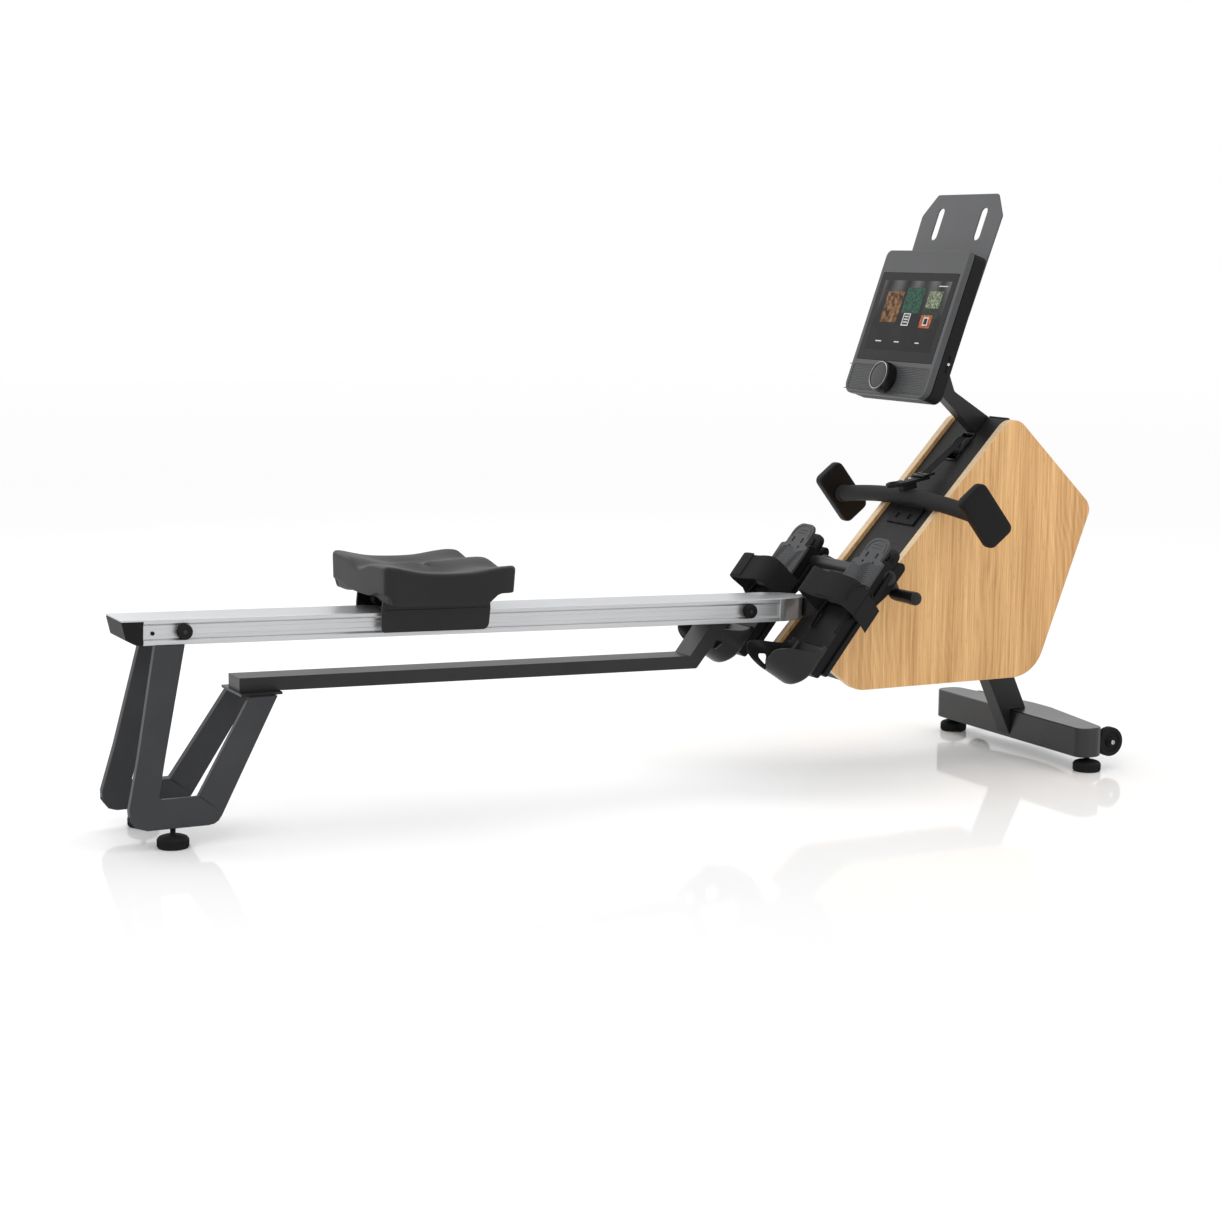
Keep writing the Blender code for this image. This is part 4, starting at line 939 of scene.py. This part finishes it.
skirts.append(block("carriageTop", (0.4215, -0.0600, 0.0260), (0.6255, 0.0600, 0.0290), railFrame, 0.0008, 2))
dressed(joined("seatCarriage", skirts), "satin", "seat", ["seat_carriage"])
for end, x, body in (("rear", 0.452, "rear_rollers"), ("front", 0.595, "front_rollers")):
    profile = [(0, 0.0608), (0.0036, 0.0608), (0.0040, 0.0602), (0.0040, 0.0452), (0.0112, 0.0450),
               (0.0125, 0.0436),
               (0.0125, 0.0262), (0.0112, 0.0250), (0.0055, 0.0245), (0.0055, -0.0245), (0.0112, -0.0250),
               (0.0125, -0.0262), (0.0125, -0.0436), (0.0112, -0.0450), (0.0040, -0.0452), (0.0040, -0.0602),
               (0.0036, -0.0608), (0, -0.0608)]
    roller = lathe(f"seatRollers_{end}", profile, (x, 0, 0.0128), "Y", railFrame, 48)
    dressed(roller, "rubber", body, [f"seat_rollers_{end}"])
print("seat done")

# Handle: bent foam grip, centre tab with a ring, ladder buckle and end paddles
handleShape = {"centre": slopeFrame @ Vector((0.389, 0, 0.0185)), "radius": 0.0160, "end": 0.2382,
               "drop": 0.016}
middle = handleShape["centre"]
gripSpots = []
for k in range(13):
    y = -handleShape["end"] + 2 * handleShape["end"] * k / 12
    bend = (abs(y) / 0.238) ** 2
    gripSpots.append((middle.x + 0.002 * bend, y, middle.z - handleShape["drop"] * bend))
grip = tubeAlong("handleGrip", gripSpots, handleShape["radius"], None, 40, False)
collars = [grip]
for s in (-1, 1):
    bend = (0.224 / 0.238) ** 2
    collars.append(lathe("gripCollar",
                         [(0.0166, 0.0062), (0.0178, 0.0050), (0.0178, -0.0050), (0.0166, -0.0062),
                                        (0.0150, -0.0062), (0.0150, 0.0062)],
                         (middle.x + 0.002 * bend, s * 0.2315, middle.z - 0.0151), "Y", None, 40, True))
dressed(joined("handleBar", collars), "foam", "handle", ["handle_bar"])

tabFrame = frameOf(middle.x + middleX - 0.046, middle.z + 0.0215, math.radians(10))
tabLine = roundedOutline([(0, -0.0155), (0.092, -0.0155), (0.092, 0.0155), (0, 0.0155)],
                         [0.0154, 0.004, 0.004, 0.0154],
                         10)
tab = prism("handleTab", tabLine, -0.0032, 0.0028, "Z", tabFrame)
tab = cut(tab, lathe("tabHole", [(0, 0.02), (0.0075, 0.02), (0.0075, -0.02), (0, -0.02)], (0.0145, 0, 0), "Z",
                     tabFrame, 40))
tab = rounded(tab, 0.0010, 3)
post = rounded(prism("tabPost", roundedOutline([(0.030, -0.0120), (0.062, -0.0120), (0.062, 0.0120),
                                                (0.030, 0.0120)],
                                               [0.004] * 4), -0.0150, -0.0030, "Z", tabFrame), 0.0012, 3)
ringPart = lathe("tabRing", [(0.0092, 0.0036), (0.0118, 0.0046), (0.0146, 0.0034), (0.0146, 0.0026),
                             (0.0092, 0.0026)],
                 (0.0145, 0, 0), "Z", tabFrame, 48, True)
dressed(joined("handleTab", [tab, post, ringPart]), "mould", "handle")
screws("tabScrews", "steel", "handle", 0.0034, [((0.038, 0, 0.0036), (0, 0, 1)),
                                                              ((0.054, 0, 0.0036), (0, 0, 1))], tabFrame)
buckle = prism("strapBuckle", roundedOutline([(0.072, -0.0185), (0.104, -0.0160), (0.104, 0.0160),
                                              (0.072, 0.0185)],
                                             [0.003] * 4), 0.0032, 0.0082, "Z", tabFrame)
for x0, x1 in ((0.0765, 0.0830), (0.0880, 0.0975)):
    buckle = cut(buckle, block("buckleGap", (x0, -0.0135, -0.01), (x1, 0.0135, 0.02), tabFrame))
dressed(rounded(buckle, 0.0011, 3), "satin", "handle").name = "strapBuckle"

for side, s in sides.items():
    low, high = ordered(s * 0.2386, s * 0.2619)
    rings = []
    for y, inset in ((low, 0.0042), (low + 0.0012, 0.0012), (low + 0.0042, 0.0), ((low + high) / 2, -0.0004),
                     (high - 0.0042, 0.0), (high - 0.0012, 0.0012), (high, 0.0042)):
        rings.append([(x, y, z) for x, z in roundRect((0, 0), 0.059 - inset, 0.032 - inset, 0.013 - inset,
                                                      8, 5)])
    dressed(loftRings(f"handlePaddle_{side}", rings, paddleFrame, 1), "mould", "handle",
            [f"handle_paddle_{side}"], 60)

# Pull strap: the outer run goes from the handle to the guide roller; the run over the guide roller to the spool stays
# in the frame
strapShape = {"width": 0.0245, "thick": 0.0013, "guide": (1.684, 0.621), "guideRadius": 0.0191,
              "spool": (1.530, 0.300), "spoolRadius": 0.0311, "start": (1.588, 0.5715)}
outerLine, innerLine = [], []
gx, gz = strapShape["guide"]
startX, startZ = strapShape["start"]
onX = gx - 0.6260 * strapShape["guideRadius"]
onZ = gz + 0.7798 * strapShape["guideRadius"]
for k in range(41):
    t = k / 40
    outerLine.append((startX + (onX - startX) * t, 0, startZ + (onZ - startZ) * t))
first = math.atan2(0.7798, -0.6260)
for k in range(13):
    a = first + (math.radians(-24) - first) * k / 12
    innerLine.append((gx + strapShape["guideRadius"] * math.cos(a), 0,
                      gz + strapShape["guideRadius"] * math.sin(a)))
sx, sz = strapShape["spool"]
for k in range(11):
    a = math.radians(-24 - 126 * k / 10)
    innerLine.append((sx + strapShape["spoolRadius"] * math.cos(a), 0,
                      sz + strapShape["spoolRadius"] * math.sin(a)))
strap = ribbon("pullStrap", outerLine, (0, 1, 0), strapShape["width"], strapShape["thick"], floorFrame)
innerStrap = ribbon("innerStrap", innerLine, (0, 1, 0), strapShape["width"], strapShape["thick"], floorFrame)
for part in (strap, innerStrap):
    part.data.materials.append(looks["web"])
    part.data.shade_smooth()
    part.data.set_sharp_from_angle(angle=math.radians(50))
dressed(innerStrap, None, "frame")
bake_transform(strap)
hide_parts("pull_strap")
print("handle done")

# Slot rim in the cover
slotShape = {"u": (0.5095, 0.5745), "half": 0.0180, "rise": 0.0022}
u0, u1 = slotShape["u"]
rimLine = roundedOutline([(u0 - 0.0035, -0.0215), (u1 + 0.0035, -0.0215), (u1 + 0.0035, 0.0215),
                          (u0 - 0.0035, 0.0215)],
                         [0.004] * 4)
rim = prism("slotRim", rimLine, -0.0079, -0.0079 + slotShape["rise"], "Z", slopeFrame)
rim = cut(rim, block("slotCut", (u0, -slotShape["half"], -0.02), (u1, slotShape["half"], 0.02), slopeFrame))
dressed(rounded(rim, 0.0006, 2), "satin", "frame").name = "slotRim"

# Pedals: black carrier with a round-nosed base plate, grey ribbed foot plate, eared heel cup and wide strap
pedalShape = {"y": 0.1345, "half": 0.050, "tongue": 0.036, "from": 0.150, "shoulder": 0.251, "tip": 0.301}
cupShape = {"half": 0.0535, "radius": 0.046, "round": 0.012, "front": 0.056, "ear": 0.080, "dip": 0.034,
            "flare": 0.004, "wall": 0.0028, "floor": -0.0092}


def tongueLine(start, grow, tip):
    p = pedalShape
    half, tongue, shoulder = p["half"] + grow, p["tongue"] + grow, p["shoulder"] + grow
    corners = [(start, -half), (shoulder, -half), (shoulder + 0.002, -tongue), (tip, -tongue), (tip, tongue),
               (shoulder + 0.002, tongue), (shoulder, half), (start, half)]
    return roundedOutline(corners, [0.004, 0.006, 0.004, 0.030, 0.030, 0.004, 0.006, 0.004], 12)


def cupWall(u, y):
    rise = cupShape["ear"] * ease(-u, -0.050, 0.012)
    return 0.0050 + rise - cupShape["dip"] * math.exp(-(y / 0.026) ** 2) * ease(-u, 0.0, 0.03)


def heelCup(name, place, inner):
    # a dished sole whose wall rises into an ear at each rear corner, with a window in the inner one
    half, radius, start = cupShape["half"], cupShape["radius"], cupShape["round"]
    straight = [cupShape["front"] + (start - cupShape["front"]) * k / 9 for k in range(9)]
    track = [(u, half, 0.0, 1.0) for u in straight]
    for k in range(33):
        a = math.radians(90 + 180 * k / 32)
        track.append((start + radius * math.cos(a), half * math.sin(a), math.cos(a), math.sin(a)))
    track += [(u, -half, 0.0, -1.0) for u in reversed(straight)]
    bm = bmesh.new()
    columns = []
    for u, y, outU, outY in track:
        centreU = max(u, start)
        column = [(centreU + (u - centreU) * t, y * t, cupShape["floor"]) for t in (0.0, 0.25, 0.5, 0.7,
                0.84)]
        for a in (20, 45, 70, 90):
            reach = 1 - 0.14 * (1 - math.sin(math.radians(a)))
            column.append((centreU + (u - centreU) * reach, y * reach,
                           cupShape["floor"] + 0.009 * (1 - math.cos(math.radians(a)))))
        tall = cupWall(u, y)
        for k in range(1, 9):
            t = k / 8
            flare = cupShape["flare"] * t
            column.append((u + outU * flare, y + outY * flare * 0.5, -0.0002 + (tall + 0.0002) * t))
        columns.append([bm.verts.new(spot) for spot in column])
    for a, b in zip(columns, columns[1:]):
        for j in range(len(a) - 1):
            bm.faces.new((a[j], a[j + 1], b[j + 1], b[j]))
    bmesh.ops.remove_doubles(bm, verts=bm.verts, dist=0.0001)
    bmesh.ops.recalc_face_normals(bm, faces=bm.faces)
    obj = fromBm(name, bm, place)
    wall = obj.modifiers.new("wall", "SOLIDIFY")
    wall.thickness = cupShape["wall"]
    wall.offset = 0
    obj = baked(obj)
    window = prism("cupWindow", roundedOutline([(-0.026, 0.032), (-0.002, 0.034), (-0.018, 0.062)],
                                               [0.005, 0.005, 0.005]), *ordered(inner * 0.02,
                                                       inner * 0.09), "Y", place)
    return rounded(cut(obj, window), 0.0009, 2, 40)


for side, s in sides.items():
    here = pedalFrame @ Matrix.Translation((0, s * pedalShape["y"], 0))
    lowPlate = prism("lowPlate", tongueLine(0.014, -0.0035, 0.297), -0.0440, -0.0330, "Z", here)
    parts = [rounded(lowPlate, 0.0022, 4)]
    spineSide = [(0.002, -0.0125), (0.002, -0.0340), (0.262, -0.0340), (0.262, -0.0125)]
    parts.append(rounded(prism("spine", roundedOutline(spineSide, [0.002, 0.006, 0.004, 0.010]), -0.0405,
                               0.0405, "Y",
                               here), 0.0030, 4))
    mountSide = [(0.150, -0.0420), (0.262, -0.0420), (0.284, -0.0520), (0.276, -0.0660), (0.214, -0.0640),
                 (0.160, -0.0500)]
    parts.append(rounded(prism("mount",
                               roundedOutline(mountSide, [0.004, 0.012, 0.012, 0.012, 0.020, 0.010]), -0.034,
                               0.034, "Y", here), 0.0030, 4))
    parts.append(block("wings", (0.130, -0.0612, -0.0235), (0.186, 0.0612, -0.0150), here, 0.0020, 3))
    for y in (-0.0440, 0.0440):
        channel = [(0.0915, y, -0.0060), (0.120, y, -0.0050), (0.152, y, -0.0060)]
        parts.append(tubeAlong("soleLip", channel, 0.0036, here, 12))
    sole = prism("solePad", roundedOutline([(0.0585, -0.044), (0.152, -0.046), (0.152, 0.046),
                                            (0.0585, 0.044)],
                                           [0.004] * 4), -0.0140, -0.0111, "Z", here)
    parts.append(rounded(sole, 0.0008, 2))
    parts.append(lathe("noseRing", [(0.0100, 0.0006), (0.0112, 0.0012), (0.0124, 0.0006), (0.0124, -0.001),
                                    (0.0100, -0.001)], (0.276, 0, -0.0330), "Z", here, 32, True))
    dressed(joined(f"pedalBlock_{side}", parts), "mould", "frame", [f"pedal_block_{side}"])

    pegPath = [(1.405, s * 0.145, 0.412), (1.413, s * 0.145, 0.396), (1.421, s * 0.1452, 0.377),
               (1.4245, s * 0.149, 0.3655), (1.425, s * 0.158, 0.3622), (1.425, s * 0.185, 0.362),
               (1.425, s * 0.219, 0.362)]
    peg = tubeAlong("sidePeg", pegPath, 0.0121, floorFrame, 32)
    capProfile = [(0, 0.0062), (0.0098, 0.0056), (0.0120, 0.0040), (0.0128, 0.0015), (0.0128, -0.0120),
                  (0.0122, -0.0128), (0, -0.0128)]
    cap = lathe("pegCap", [(r, s * h) for r, h in capProfile], (1.425, s * 0.2195, 0.362), "Y", floorFrame,
                40)
    dressed(joined(f"sidePeg_{side}", [peg, cap]), "satin", "frame")

    plate = prism(f"footPlate_{side}", tongueLine(pedalShape["from"], 0.0, pedalShape["tip"]), -0.0117,
                  -0.0058, "Z",
                  here)
    for u, y, length in ((0.2625, 0.0165, 0.0110), (0.2625, -0.0165, 0.0110), (0.2470, 0.0170, 0.0050),
                         (0.2470, -0.0170, 0.0050)):
        u0, u1 = u - length / 2, u + length / 2
        plate = cut(plate, prism("plateSlot",
                                 roundedOutline([(u0, y - 0.0026), (u1, y - 0.0026), (u1, y + 0.0026),
                                                              (u0, y + 0.0026)], [0.0016] * 4, 4), -0.03,
                                                              0.01, "Z",
                                 here))
    details = [rounded(plate, 0.0008, 2)]
    for k in range(12):
        # nested wave lines, steeper towards the middle of the sole
        reach = 0.0046 * k
        wave = []
        for j in range(15):
            t = j / 14
            y = -0.046 + 0.092 * t
            swing = 0.0052 * math.sin(3.1 * t * math.pi + 0.16 * k) + 0.010 * t
            wave.append((0.186 + reach + swing, s * y, -0.0056))
        if wave[0][0] < 0.245:
            details.append(tubeAlong("waveRib", [(min(u, 0.2455), y, n) for u, y, n in wave], 0.0009, here,
                                     6, False))
    tipLine = [(0.2700, -0.030, -0.0056), (0.2830, -0.0275, -0.0056), (0.2930, -0.018, -0.0056),
               (0.2962, 0, -0.0056),
               (0.2930, 0.018, -0.0056), (0.2830, 0.0275, -0.0056), (0.2700, 0.030, -0.0056)]
    details.append(tubeAlong("tipRim", tipLine, 0.0009, here, 8))
    for u in (0.278, 0.285):
        details.append(tubeAlong("tipBar",
                                 [(u, -0.014, -0.0056), (u + 0.001, 0, -0.0056), (u, 0.014, -0.0056)], 0.0007,
                                 here, 8))
    for part in details[1:]:
        part.data.materials.append(looks["footplate"])
    dressed(joined(f"footPlate_{side}", details), "footplate", "frame",
            [f"foot_plate_{side}"])

    cup = heelCup(f"heelCup_{side}", here, -s)
    dressed(cup, "satin", f"heel_cup_{sideWord[side]}", [f"heel_cup_{side}"],
            60)

    # the strap rises from the inner side, lies flat over the foot and doubles back through a loop outside
    arch = [(-0.0634, -0.0215), (-0.0642, 0.0), (-0.0645, 0.024), (-0.0600, 0.0410), (-0.0460, 0.0480),
            (-0.020, 0.0512), (0.010, 0.0530), (0.036, 0.0548), (0.0560, 0.0520), (0.0650, 0.0390),
            (0.0655, 0.018),
            (0.0648, 0.0), (0.0636, -0.0215)]
    arch = [(0.158 + 0.003 * math.sin(k * 0.9), -s * y, n) for k, (y, n) in enumerate(arch)]
    band = ribbon("strapBand", smoothLine(arch, 5), (1, 0, 0), 0.056, 0.0028, here)
    over = [(-0.006, 0.0546), (-0.022, 0.0536), (-0.040, 0.0512), (-0.0560, 0.0455), (-0.0665, 0.0330),
            (-0.0690, 0.014), (-0.0688, -0.004)]
    flap = ribbon("strapFlap", smoothLine([(0.1585, -s * y, n) for y, n in over], 5), (1, 0, 0), 0.0535,
                  0.0024, here)
    tail = [(0.156, s * 0.0700, -0.004), (0.152, s * 0.0735, -0.016), (0.147, s * 0.0780, -0.028),
            (0.142, s * 0.0835, -0.036)]
    tailPiece = ribbon("strapTail", smoothLine(tail, 5), (1, 0, 0), 0.050, 0.0022, here)
    straps = joined(f"footStrap_{side}", [band, flap, tailPiece])
    straps.data.materials.append(looks["web"])
    dressed(straps, None, "frame", [f"foot_strap_{side}"], 60)
    loopSpots = []
    for k in range(25):
        a = math.radians(-80 + 200 * k / 24)
        loopSpots.append((0.1600 + 0.030 * math.cos(a), s * (0.0700 + 0.003 * math.sin(a)),
                          0.004 + 0.030 * math.sin(a)))
    loop = tubeAlong("strapLoop", loopSpots, 0.0013, here, 10)
    dressed(loop, "mould", "frame").name = f"strapLoop_{side}"

crossbar = lathe("pedalCrossbar",
                 [(0, 0.1760), (0.0128, 0.1760), (0.0140, 0.1748), (0.0140, -0.1748), (0.0128, -0.1760),
                                   (0, -0.1760)], (0.240, 0, -0.042), "Y", pedalFrame, 48)
dressed(crossbar, "beam", "frame", ["pedal_crossbar"])

# Console: charcoal front shell, black rear shell, bordered screen, ribbed lower panel and a dial
consoleShape = {"tall": 0.296, "half": 0.143, "deep": 0.042, "front": 0.0125, "corner": 0.014, "edge": 0.0030,
                "seam": 0.0006, "glass": (0.0698, 0.2492, 0.1307), "panel": (0.0075, 0.0600, 0.1330)}
picture = {"low": 0.0905, "tall": 0.1428, "half": 0.114, "glow": 0.85,
           "cards": ((0.10, 0.35, 0.40, 0.84, (0.34, 0.15, 0.045, 1), (0.015, 0.009, 0.006, 1), 26),
                     (0.385, 0.65, 0.54, 0.90, (0.022, 0.130, 0.080, 1), (0.004, 0.020, 0.016, 1), 60),
                     (0.72, 0.92, 0.62, 0.86, (0.36, 0.42, 0.26, 1), (0.030, 0.055, 0.030, 1), 60),
                     (0.70, 0.93, 0.48, 0.62, (0.020, 0.040, 0.022, 1), (0.008, 0.016, 0.010, 1), 30),
                     (0.71, 0.87, 0.34, 0.52, (0.62, 0.20, 0.045, 1), (0.30, 0.040, 0.020, 1), 40)),
           "marks": ((0.44, 0.545, 0.36, 0.535), (0.135, 0.225, 0.118, 0.134), (0.42, 0.495, 0.118, 0.134),
                     (0.735, 0.795, 0.118, 0.134), (0.83, 0.96, 0.925, 0.938), (0.755, 0.825, 0.375, 0.49)),
           "gaps": ((0.452, 0.533, 0.375, 0.522), (0.765, 0.815, 0.39, 0.475)),
           "bars": ((0.462, 0.523, 0.48, 0.50), (0.462, 0.523, 0.44, 0.46), (0.462, 0.523, 0.40, 0.42))}


def screenPicture(wire):
    spot = wire.node("TexCoord", output=3)
    origin = consoleFrame.translation
    alongUp = consoleFrame.to_3x3() @ Vector((1, 0, 0))
    height = wire.node("VectorMath", {"operation": "DOT_PRODUCT"}, {0: spot, 1: alongUp},
                       1) - origin.dot(alongUp)
    t = (height - picture["low"]) / picture["tall"]
    s = (picture["half"] - wire.node("SeparateXYZ", None, {0: spot}, 1)) / (2 * picture["half"])

    def inside(s0, s1, t0, t1):
        return (s.maths("COMPARE", s, (s0 + s1) / 2, (s1 - s0) / 2)
                * t.maths("COMPARE", t, (t0 + t1) / 2, (t1 - t0) / 2))

    folds = (s * 24 + wire.noise(wire.place((6, 6, 6)), 1.0) * 5)
    folds = folds.maths("SINE", folds) * 0.5 + 0.5
    smoke = wire.noise(wire.place((26, 26, 26)), 1.0, 4)
    level = folds * t.between(0.45, 1.0) * 0.75 + smoke.between(0.5, 0.8) * t.between(0.05, 0.5) * 0.22
    colour = level.blend((0.002, 0.002, 0.003, 1), (0.16, 0.155, 0.16, 1))
    for s0, s1, t0, t1, light, dark, grain in picture["cards"]:
        dots = wire.noise(wire.place((grain * 4, grain * 4, grain * 4)), 1.0, 3).between(0.38, 0.62)
        colour = inside(s0, s1, t0, t1).blend(colour, dots.blend(dark, light))
    for box in picture["marks"]:
        colour = inside(*box).blend(colour, grey(0.80))
    for box in picture["gaps"]:
        colour = inside(*box).blend(colour, (0.010, 0.009, 0.008, 1))
    for box in picture["bars"]:
        colour = inside(*box).blend(colour, grey(0.65))
    border = inside(0.0, 1.0, 0.0, 1.0)
    return {"Emission Color": border.blend(grey(0.0), colour),
            "Base Color": border.blend(grey(0.011), grey(0.001)),
            "Roughness": wire.noise(wire.place(), 60) * 0.06 + 0.20}


looks["screen"] = material("screenGlass", screenPicture, Emission_Strength=picture["glow"],
                           Specular_IOR_Level=0.08)


def shell(name, low, high, inset, corner, edge):
    tall, half = consoleShape["tall"], consoleShape["half"]
    outline = [(inset, -half + inset), (tall - inset, -half + inset), (tall - inset, half - inset),
               (inset, half - inset)]
    radii = [corner * 1.7, corner, corner, corner * 1.7]
    return rounded(prism(name, roundedOutline(outline, radii, 10), low, high, "Z", consoleFrame), edge, 4)


front = shell("consoleFront", -consoleShape["front"], 0.0, 0.0, consoleShape["corner"], consoleShape["edge"])
g0, g1, gy = consoleShape["glass"]
well = prism("glassWell", roundedOutline([(g0 - 0.0004, -gy - 0.0004), (g1 + 0.0004, -gy - 0.0004),
                                          (g1 + 0.0004, gy + 0.0004), (g0 - 0.0004, gy + 0.0004)],
                                          [0.003] * 4),
             -0.0024, 0.01, "Z", consoleFrame)
p0, p1, py = consoleShape["panel"]
panelWell = prism("panelWell", roundedOutline([(p0, -py), (p1, -py), (p1, py), (p0, py)],
                                              [0.009, 0.003, 0.003, 0.009]),
                  -0.0010, 0.01, "Z", consoleFrame)
knobWell = lathe("knobWell", [(0, 0.01), (0.0066, 0.01), (0.0066, -0.010), (0, -0.010)], (0.034, 0, 0), "Z",
                 consoleFrame, 32)
front = cut(front, well, panelWell, knobWell)
dressed(rounded(front, 0.0004, 2, 40), "console", "console", ["console_body"], 30)
ribs = row("consoleRibs", "console", 15, (0.0112, 0, -0.00115), (0.0033, 0, 0), (0.00135, 0.0010, 0.2620),
           (math.radians(90), 0, 0), consoleFrame)
rimSpots = [(u, y, -0.0006) for u, y in roundedOutline([(0.0085, -0.132), (0.059, -0.132), (0.059, 0.132),
                                                        (0.0085, 0.132)], [0.008, 0.003, 0.003, 0.008], 5)]
trim = tubeAlong("ribTrim", rimSpots + rimSpots[:1], 0.0008, consoleFrame, 8, False)
holder = lathe("ribHole", [(0, 0.01), (0.0312, 0.01), (0.0312, -0.008), (0, -0.008)], (0.034, 0, 0), "Z",
               consoleFrame, 48)
ribs = cut(ribs, holder)
for part in (ribs, trim):
    part.data.materials.clear()
dressed(joined("consoleRibs", [ribs, trim]), "console", "console")
rear = shell("consoleRear", -consoleShape["deep"], -consoleShape["front"] - consoleShape["seam"], 0.0012,
             0.013, 0.0024)
for u0, u1 in ((0.062, 0.075), (0.082, 0.095)):
    rear = cut(rear, prism("portHole",
                           roundedOutline([(u0, -0.0230), (u1, -0.0230), (u1, -0.0300), (u0, -0.0300)],
                                                      [0.0015] * 4, 4), -0.150, -0.1400, "Y", consoleFrame))
dressed(rear, "mould", "console")
core = shell("consoleCore", -consoleShape["front"] - 0.002, -consoleShape["front"] + 0.001, 0.0026, 0.012,
             0.0003)
dressed(core, "mould", "console").name = "consoleSeam"
vents = row("consoleVents", "mould", 16, (0.195, 0, -consoleShape["deep"] - 0.0002), (0.0052, 0, 0),
            (0.0009, 0.0009, 0.150), (math.radians(90), 0, 0), consoleFrame)
dressed(vents, None, "console")
dot = lathe("consolePort", [(0, 0.0006), (0.0026, 0.0006), (0.0030, 0.0002), (0.0030, -0.002), (0, -0.002)],
            (0, 0, 0), "Z", consoleFrame @ Matrix.Translation((0.0795, -0.1419, -0.0300))
            @ Matrix.Rotation(math.radians(90), 4, "X"), 24)
dressed(dot, "steel", "console")

glass = block("screenPane", (g0, -gy, -0.0019), (g1, gy, 0.0003), consoleFrame)
dressed(rounded(glass, 0.0004, 2), "screen", "console", ["console_glass"])

dial = [(0, 0.0222), (0.0236, 0.0222), (0.0250, 0.0234), (0.0266, 0.0234), (0.0288, 0.0222), (0.0298, 0.0204),
        (0.0300, 0.0030), (0.0292, 0.0006), (0.0060, 0.0005), (0.0058, -0.0080), (0, -0.0080)]
knobPart = lathe("dialKnob", dial, (0.034, 0, 0), "Z", consoleFrame, 96)
grip = ring("dialGrip", "satin", 64, 0.0296, (0.0007, 0.0007, 0.0130),
            consoleFrame @ Matrix.Translation((0.034, 0, 0.0105)))
dressed(joined("dialKnob", [knobPart, grip]), "satin", "knob", ["console_knob"])
halo = lathe("dialRim", [(0.0262, 0.02335), (0.0268, 0.02372), (0.0274, 0.02325), (0.0268, 0.0228)],
             (0.034, 0, 0), "Z",
             consoleFrame, 96, True)
dressed(halo, "steel", "knob")
pad = lathe("dialFace", [(0, 0.0227), (0.012, 0.02265), (0.0226, 0.0225), (0.0234, 0.0221), (0, 0.0218)],
            (0.034, 0, 0),
            "Z", consoleFrame, 96)
dressed(pad, "glass", "knob")

# Tablet plate behind the console, with its slots, spacers and screws
plate = [(0.175, -0.128), (0.384, -0.134), (0.428, -0.100), (0.428, 0.100), (0.384, 0.134), (0.175, 0.128)]
tablet = prism("tabletPlate", roundedOutline(plate, [0.010] * 6, 8), -0.0505, -0.0475, "Z", consoleFrame)
for s in (-1, 1):
    y0, y1 = ordered(s * 0.0620, s * 0.0820)
    tablet = cut(tablet, prism("tabletSlot",
                               roundedOutline([(0.334, y0), (0.400, y0), (0.400, y1), (0.334, y1)],
                                                            [0.0096] * 4, 8), -0.06, -0.03, "Z",
                                                            consoleFrame))
tablet = rounded(tablet, 0.0007, 2)
spacers = [tablet]
for s in (-1, 1):
    y0, y1 = ordered(s * 0.060, s * 0.074)
    spacers.append(block("tabletSpacer", (0.190, y0, -0.0480), (0.220, y1, -0.0424), consoleFrame, 0.0008, 2))
dressed(joined("tabletPlate", spacers), "tablet", "console", ["tablet_plate"])
screws("tabletScrews", "steel", "console", 0.0032,
       [((u, s * 0.067, -0.0505), (0, 0, -1)) for u in (0.198, 0.212) for s in (-1, 1)], consoleFrame)
dressed(softCopy("consoleBracket", "console_bracket", 0.0008, 3), "beam", "console",
        ["console_bracket"])
screws("bracketScrews", "steel", "console", 0.0034,
       [((u, s * 0.034, -0.0470), (0, 0, -1)) for u in (0.096, 0.144) for s in (-1, 1)], consoleFrame)

# Mast between the console and the housing
dressed(softCopy("consoleMast", "mast", 0.0012, 3, 28), "beam", "frame", ["mast"])
print("console done")

# every other CAD node keeps its own shape and gets a real finish
nodeLooks = {
    "console_bracket": "steel", "frame_plate_l": "steel", "frame_plate_r": "steel", "flywheel": "iron",
    "flywheel_shaft": "steel", "drive_axle": "steel", "drive_pulley": "mould", "strap_spool": "footplate",
    "recoil_cassette": "footplate", "drive_belt": "rubber", "guide_pulley": "footplate",
    "brake_shoe": "steel",
    "tension_motor": "footplate", "control_board": "board",
}
for node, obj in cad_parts.items():
    if not obj.hide_render:
        obj.data.materials.clear()
        obj.data.materials.append(looks[nodeLooks.get(node, "mould")])
print("materials on CAD nodes done")


low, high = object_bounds()
